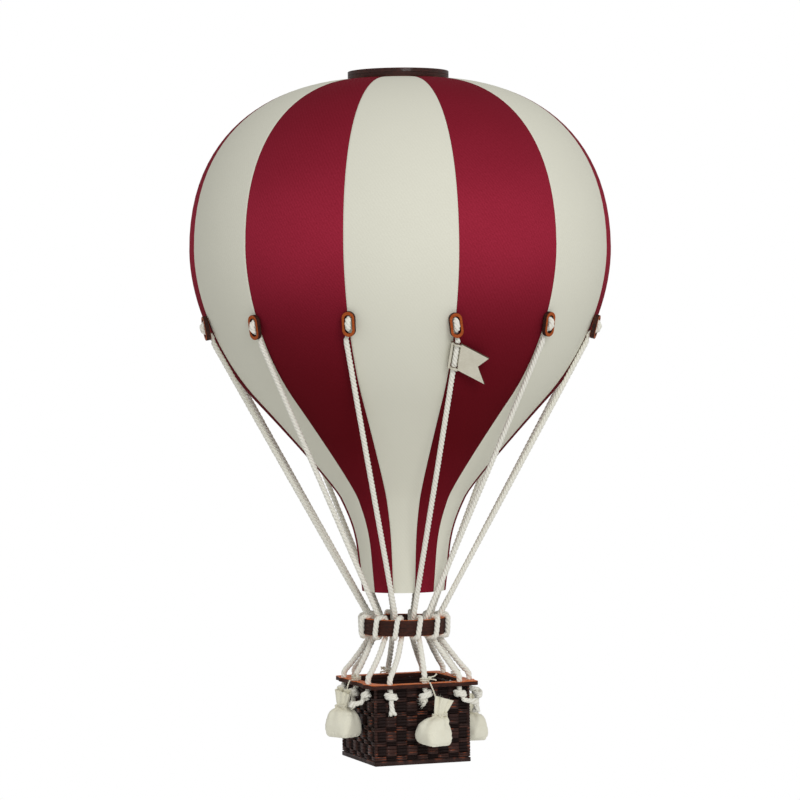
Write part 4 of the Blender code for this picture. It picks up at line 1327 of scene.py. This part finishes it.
def puff(made, start):
    """Fills the bag with air for a few steps and moves its points that way, as far as they may."""
    cloth = made.modifiers.new("filled", "CLOTH")
    for name, value in SIM_SETTINGS.items():
        setattr(cloth.settings, name, value)
    cloth.settings.effector_weights.gravity = 0.0
    cloth.point_cache.frame_start, cloth.point_cache.frame_end = 1, SIM_STEPS
    for step in range(1, SIM_STEPS + 1):
        bpy.context.scene.frame_set(step)
    moved = [vert.co.copy() for vert in evaluated(made).to_mesh().vertices]
    evaluated(made).to_mesh_clear()
    bpy.context.scene.frame_set(1)
    made.modifiers.clear()
    limit = SIM_LIMIT * SIM_SCALE
    for vert, before, after in zip(made.data.vertices, start, moved):
        way = after - before
        if way.length > limit:
            way *= limit / way.length
        vert.co = before + way


def filled(rings):
    """The skin of the rings after a cloth simulation has puffed it, as points and faces."""
    centre = sum((point for ring in rings for point in ring), Vector()) / (len(rings) * BAG_SIDES)
    form = Shape()
    form.skin([[(point - centre) * SIM_SCALE for point in ring] for ring in rings])
    data = bpy.data.meshes.new("bag_form")
    data.from_pydata([tuple(point) for point in form.points], [], form.faces)
    made = add_object("bag_form", data)
    remesh = made.modifiers.new("even", "REMESH")
    remesh.mode, remesh.voxel_size = "VOXEL", SIM_VOXEL * SIM_SCALE
    bpy.context.view_layer.update()
    even = bpy.data.meshes.new_from_object(evaluated(made))
    made.modifiers.clear()
    made.data = even
    start = [vert.co.copy() for vert in even.vertices]
    top, bottom = max(point.z for point in start), min(point.z for point in start)
    held = made.vertex_groups.new(name="held")
    for index, point in enumerate(start):
        from_neck = (top - point.z) / (SIM_SCALE * NECK_HELD * MM)
        from_foot = (point.z - bottom) / (SIM_SCALE * FOOT_HELD * MM)
        held.add([index], min(1.0, max(0.0, 1 - from_neck, 1 - from_foot) * 1.5), "REPLACE")
    puff(made, start)
    made.modifiers.new("smooth", "SUBSURF").levels = 1
    bpy.context.view_layer.update()
    done = bpy.data.meshes.new_from_object(evaluated(made))
    points = [centre + vert.co / SIM_SCALE for vert in done.vertices]
    faces = [tuple(face.vertices) for face in done.polygons]
    bpy.data.objects.remove(made)
    bpy.data.meshes.remove(done)
    return points, faces


def take_in(shape, points, faces, side, deep):
    """Adds a ready mesh to an empty shape, with its flat place taken square to the basket's side."""
    shape.points += points
    frame_in = side_frame(side).inverted()
    local = [frame_in @ point for point in points]
    for face in faces:
        shape.faces.append(face)
        first, second, third = (local[index] for index in face[:3])
        normal = (second - first).cross(third - first)
        axis = 1 if abs(normal.x) > abs(normal.y) else 0
        shape.flat += [(local[index][axis], local[index].z) for index in face]
    shape.marks["deep"] = {index: deep(point) for index, point in enumerate(points)}


def make_sandbag(number, bag):
    side, lower = bag[0], bag[3]
    seed = 1.9 * number + 0.6
    shape = Shape()
    points, faces = filled([bag_ring(bag, row, seed) for row in BELLY_RINGS])
    neck = BAG_TOP - (lower + BELLY_RINGS[0][0]) * MM
    # the belly is painted darker just under the neck, as painted shade
    take_in(shape, points, faces, side, lambda point: 0.5 * max(0.0, 1 - (neck - point.z) / (4.5 * MM)))
    outer = [bag_ring(bag, row, seed) for row in FRILL_RINGS]
    inner = [bag_ring(bag, row, seed, inset=FRILL_THICKNESS) for row in FRILL_RINGS]
    for row, ring in enumerate(inner[:-1]):
        inner[row] = [point - UP * 0.12 * MM for point in ring]
    last = len(FRILL_RINGS) - 1
    # the frill is painted darker on its inside, more so down towards the neck, as painted shade
    deep = {"deep": lambda row, place: 0.15 if row <= last else 0.15 + 0.10 * (row - last)}
    shape.skin(outer[::-1] + inner, marks=deep)
    chance = random.Random(40 + number)
    for count in range(FRINGE):
        step = chance.randrange(BAG_SIDES)
        root, under = outer[0][step], outer[1][step]
        ahead = (root - under).normalized()
        reach = chance.uniform(0.5, 1.7) * MM if count % 16 else LONG_THREAD
        fray_end(shape, root, ahead, 0.3 * MM, 1, reach, 1000 * number + count, {"deep": 0.0}, FRINGE_THICK)
    body = f"sandbag_{number + 1}"
    made = shape.piece(f"muslin_{body}", MUSLIN, body, body, 60)
    print("sandbag", number + 1, "faces", len(shape.faces))


for number, bag in enumerate(SANDBAGS):
    make_sandbag(number, bag)

# %% [markdown]
# ## Strings
# A thin two-ply string goes twice round the middle rope of each side, over the rim and twice round the bag's
# neck, with a small knot and loose ends at both places. The part of it above the rim stays with the balloon,
# and the part below swings with the bag, so they are two pieces that meet at the rim's edge.

# %% Strings
STRING, STRING_LAY, STRING_STEP, STRING_FRAY = 0.6 * MM, 3.0 * MM, 0.42 * MM, 1.2 * MM
HINGE_SIDE, HINGE_HEIGHT = 3.0 * MM, RIM_TOP + ROPE_GAP + STRING
HINGE_OUT = RIM_HALF + RIM_BULGE + ROPE_GAP + STRING
NECK_WIDTH, NECK_THICK, NECK_DEPTH = 4.9 * MM, 2.8 * MM, 11.6 * MM
TIE_TURNS, TIE_STEPS, TIE_FIRST, TIE_RISE = 1.8, 30, radians(15 - 270), 2.4 * MM
NECK_TURNS, NECK_STEPS, NECK_FIRST, NECK_RISE = 2.3, 40, radians(200), 2.2 * MM
# loose ends, as steps from the knot along the side, out and up in mm
TIE_ENDS = (
    ((1.6, 0.5, 1.0), (3.4, 0.8, 1.4), (5.4, 0.6, 3.0)),
    ((1.4, 0.6, -0.6), (3.4, 1.0, -0.9), (5.0, 1.2, -1.5)),
)
NECK_ENDS = (
    ((0.6, 0.9, -2.0), (1.2, 2.2, -4.4), (1.0, 3.4, -6.6)),
    ((-0.9, 0.8, -1.6), (-2.0, 2.0, -3.6), (-2.6, 3.2, -5.4)),
)


def lay_string(shape, points, start, thin=1.0):
    way = [(point, STRING * thin) for point in points]
    return lay_strands(shape, way, 2, STRING_LAY, 6, STRING_STEP, start, STRING_FRAY)


def knot_and_ends(shape, side, centre, start, ends, length):
    """A tight overhand knot, as one and a half small turns, and the two loose ends that leave it."""
    across = sideways(BASKET_TURN + side * pi / 2)
    out = across.cross(UP)
    points = []
    for step in range(13):
        angle = step / 12 * 3 * pi
        lift = (step / 12 - 0.5) * 1.3 * MM
        points.append(centre + out * cos(angle) * 0.95 * MM + UP * sin(angle) * 0.95 * MM + across * lift)
    lay_string(shape, points, start)
    turned = side_frame(side).to_3x3()
    for ways in ends:
        loose = [centre + turned @ Vector((-along, out, up)) * MM * length for along, out, up in ways]
        lay_string(shape, [centre] + loose, start + 1.0, 0.9)


def make_tie(number, side, length):
    """The loops round the rope on top of the rim, and the run to the rim's edge."""
    reach = ROPE + ROPE_GAP + STRING
    shape = Shape()
    points = []
    for step in range(TIE_STEPS + 1):
        left = 1 - step / TIE_STEPS
        angle = TIE_FIRST + left * TIE_TURNS * 2 * pi
        up = HINGE_HEIGHT + ROPE_GAP + left * TIE_RISE
        points.append(at_hole(side, reach * sin(angle), HOLE_OUT + reach * cos(angle), up))
    points.append(on_side(side, HINGE_SIDE - 0.6 * MM, HINGE_OUT - 4.6 * STRING, HINGE_HEIGHT + 0.25 * MM))
    points.append(on_side(side, HINGE_SIDE, HINGE_OUT - 2.4 * STRING, HINGE_HEIGHT))
    loop = lay_string(shape, points, number)[-1]
    knot = at_hole(side, 2.6 * MM, HOLE_OUT + 2.3 * MM, HINGE_HEIGHT + 2.6 * MM)
    knot_and_ends(shape, side, knot, number, TIE_ENDS, length)
    name, tie = f"string_loop_{number + 1}", f"sandbag_tie_{number + 1}"
    shape.piece(name, STRING_FIBRE, tie, sharp=80)
    print("string", number + 1, "loops round the rope", round(loop, 4))


def make_cord(number, bag):
    """From the rim's edge down to the neck, twice round it, and its knot and ends."""
    side, along, _, lower, far, _, length = bag
    out_from_wall = BAG_OUT + far * MM
    shape = Shape()
    height = BAG_TOP - lower * MM - NECK_DEPTH
    wide, thick = NECK_WIDTH + STRING * 0.55, NECK_THICK + STRING * 0.55
    points = [on_side(side, HINGE_SIDE, HINGE_OUT, HINGE_HEIGHT)]
    start_on = (along * MM - wide * sin(NECK_FIRST), out_from_wall + thick * cos(NECK_FIRST))
    gap = Vector((start_on[0] - HINGE_SIDE, start_on[1] - HINGE_OUT))
    for share, bulge in ((0.25, 1.2), (0.6, 1.0)):
        up = HINGE_HEIGHT + (height + 1.0 * MM - HINGE_HEIGHT) * share
        points.append(on_side(side, HINGE_SIDE + gap.x * share, HINGE_OUT + gap.y * share + bulge * MM, up))
    for step in range(NECK_STEPS + 1):
        share = step / NECK_STEPS
        angle = NECK_FIRST + share * NECK_TURNS * 2 * pi
        up = height + (0.5 - share) * NECK_RISE
        points.append(on_side(side, along * MM - wide * sin(angle), out_from_wall + thick * cos(angle), up))
    fall = lay_string(shape, points, number + 2.0)[-1]
    knot = on_side(side, along * MM - 1.6 * MM, out_from_wall + NECK_THICK + 1.0 * MM, height)
    knot_and_ends(shape, side, knot, number + 3.0, NECK_ENDS, length)
    name, cord = f"bag_string_{number + 1}", f"sandbag_cord_{number + 1}"
    shape.piece(name, STRING_FIBRE, cord, f"sandbag_{number + 1}", 80)
    print("string", number + 1, "down to the neck and round it", round(fall, 4))


for number, bag in enumerate(SANDBAGS):
    make_tie(number, bag[0], bag[-1])
    make_cord(number, bag)

# %% [markdown]
# ## Pennant
# A swallow-tailed flag of thin card board hangs on one rope, threaded through two slots so that its middle
# strap bows behind the rope and its bands in front. It is left blank. It is drawn as a grid of points whose
# bow comes from where they lie, with real thickness and burnt cut edges.

# %% Pennant
PENNANT_AZIMUTH = 15
PENNANT_CENTRE, PENNANT_HALF, PENNANT_THICKNESS = -202.4 * MM, 10.4 * MM, 1.0 * MM
PENNANT_SPREAD, PENNANT_DROOP = 1.025, 0.565
PENNANT_BAND, PENNANT_STRAP, PENNANT_BOW, PENNANT_SLOT = 8.4 * MM, 7.4 * MM, 2.9 * MM, 2.7
PENNANT_NOTCH, NOTCH_FROM, NOTCH_LONG = 7.0 * MM, 14.0 * MM, 9.6 * MM
PENNANT_ROWS = (10.4, 9.85, 9.75, 8.4, 7.4, 4.2, 1.6, 0.0, -1.6, -4.2, -7.4, -8.4, -9.2, -10.1, -10.4)
SLOT_ROWS = (3, 10)
PENNANT_COLUMNS = (
    -4.3, -3.5, -2.7, -2.55, -2.3, -1.6, -0.8, 0.0, 0.8, 1.6, 2.3, 2.55, 2.7, 3.3, 6.0, 9.0, 12.0, 14.0,
    17.0, 20.0, 22.9, 23.0, 23.6,
)


def pennant_finish():
    finish = Finish("pennant_board", Specular_IOR_Level=0.3, Coat_Weight=0.05)
    place = finish.object_place()
    grain = finish.grain(place, 0.35 * MM, 4.0, (14.0, 1.0, 1.0))
    cloud = finish.grain(place, 5 * MM, 2.0)
    board = finish.mix((grain * 0.6 + cloud * 0.4).between(0.3, 0.75), (0.70, 0.67, 0.56), (0.56, 0.52, 0.41))
    colour = finish.mix(finish.mark("cut"), board, (0.090, 0.055, 0.035))
    finish.feed(Base_Color=colour, Roughness=0.55 + grain * 0.2)
    finish.bump(grain, 0.06 * MM, 0.5)
    return finish


def burnt_finish():
    finish = Finish("pennant_burnt_edge", Roughness=0.6)
    soot = finish.grain(finish.object_place(), 0.6 * MM, 3.0)
    finish.feed(Base_Color=finish.mix(soot.between(0.3, 0.7), (0.035, 0.022, 0.016), (0.16, 0.10, 0.06)))
    return finish


def make_pennant():
    way = rope_way(next(rope for rope in ROPES if rope.azimuth == PENNANT_AZIMUTH))
    upper, lower = way[10][0], way[11][0]
    up = (upper - lower).normalized()
    centre = lower + up * ((PENNANT_CENTRE - lower.z) / up.z)
    across = sideways(radians(PENNANT_AZIMUTH))
    place = Matrix.Translation(centre) @ Matrix((across, up, across.cross(up))).transposed().to_4x4()

    def point(u, v, height):
        tip = PENNANT_NOTCH * (1 - abs(v) / PENNANT_HALF) * max(0.0, (u - NOTCH_FROM) / NOTCH_LONG)
        reach = u - tip
        near = sqrt(max(0.0, 1 - (abs(u) / (PENNANT_SLOT * MM)) ** 4))
        bow = PENNANT_BOW * near * (-1.0 if abs(v) < (PENNANT_BAND + PENNANT_STRAP) / 2 else 1.0)
        return place @ Vector((reach * PENNANT_SPREAD, v - max(reach, 0.0) * PENNANT_DROOP, bow + height))

    bm = bmesh.new()
    cut = bm.verts.layers.float.new("cut")
    corners = {}
    for side in (1, -1):
        for i, v in enumerate(value * MM for value in PENNANT_ROWS):
            for j, u in enumerate(value * MM for value in PENNANT_COLUMNS):
                made = bm.verts.new(point(u, v, side * PENNANT_THICKNESS / 2))
                made[cut] = float(v > 9.8 * MM or (u > 22.95 * MM and v < 0))
                corners[side, i, j] = made
    for side in (1, -1):
        for i in range(len(PENNANT_ROWS) - 1):
            for j in range(len(PENNANT_COLUMNS) - 1):
                if not (i in SLOT_ROWS and -PENNANT_SLOT <= PENNANT_COLUMNS[j] < PENNANT_SLOT):
                    square = ((0, 0), (1, 0), (1, 1), (0, 1))
                    bm.faces.new([corners[side, i + down, j + over] for down, over in square][::side])
    edges = [edge for edge in bm.edges if len(edge.link_faces) == 1]
    partner = {corners[1, i, j]: made for (side, i, j), made in corners.items() if side < 0}
    for edge in edges:
        first, second = edge.verts
        if first in partner:
            side_face = bm.faces.new((first, second, partner[second], partner[first]))
            side_face.material_index = 1
    bmesh.ops.delete(bm, geom=[vert for vert in bm.verts if not vert.link_faces], context="VERTS")
    bmesh.ops.recalc_face_normals(bm, faces=bm.faces)
    flat = bm.loops.layers.uv.new("metres")
    for face in bm.faces:
        for loop in face.loops:
            loop[flat].uv = (loop.vert.co.x, loop.vert.co.z)
    data = bpy.data.meshes.new("blank_pennant")
    bm.to_mesh(data)
    bm.free()
    finishes = [pennant_finish(), burnt_finish()]
    place_piece("blank_pennant", data, finishes, "pennant", "pennant", 40)
    print("pennant faces", len(data.polygons))


make_pennant()
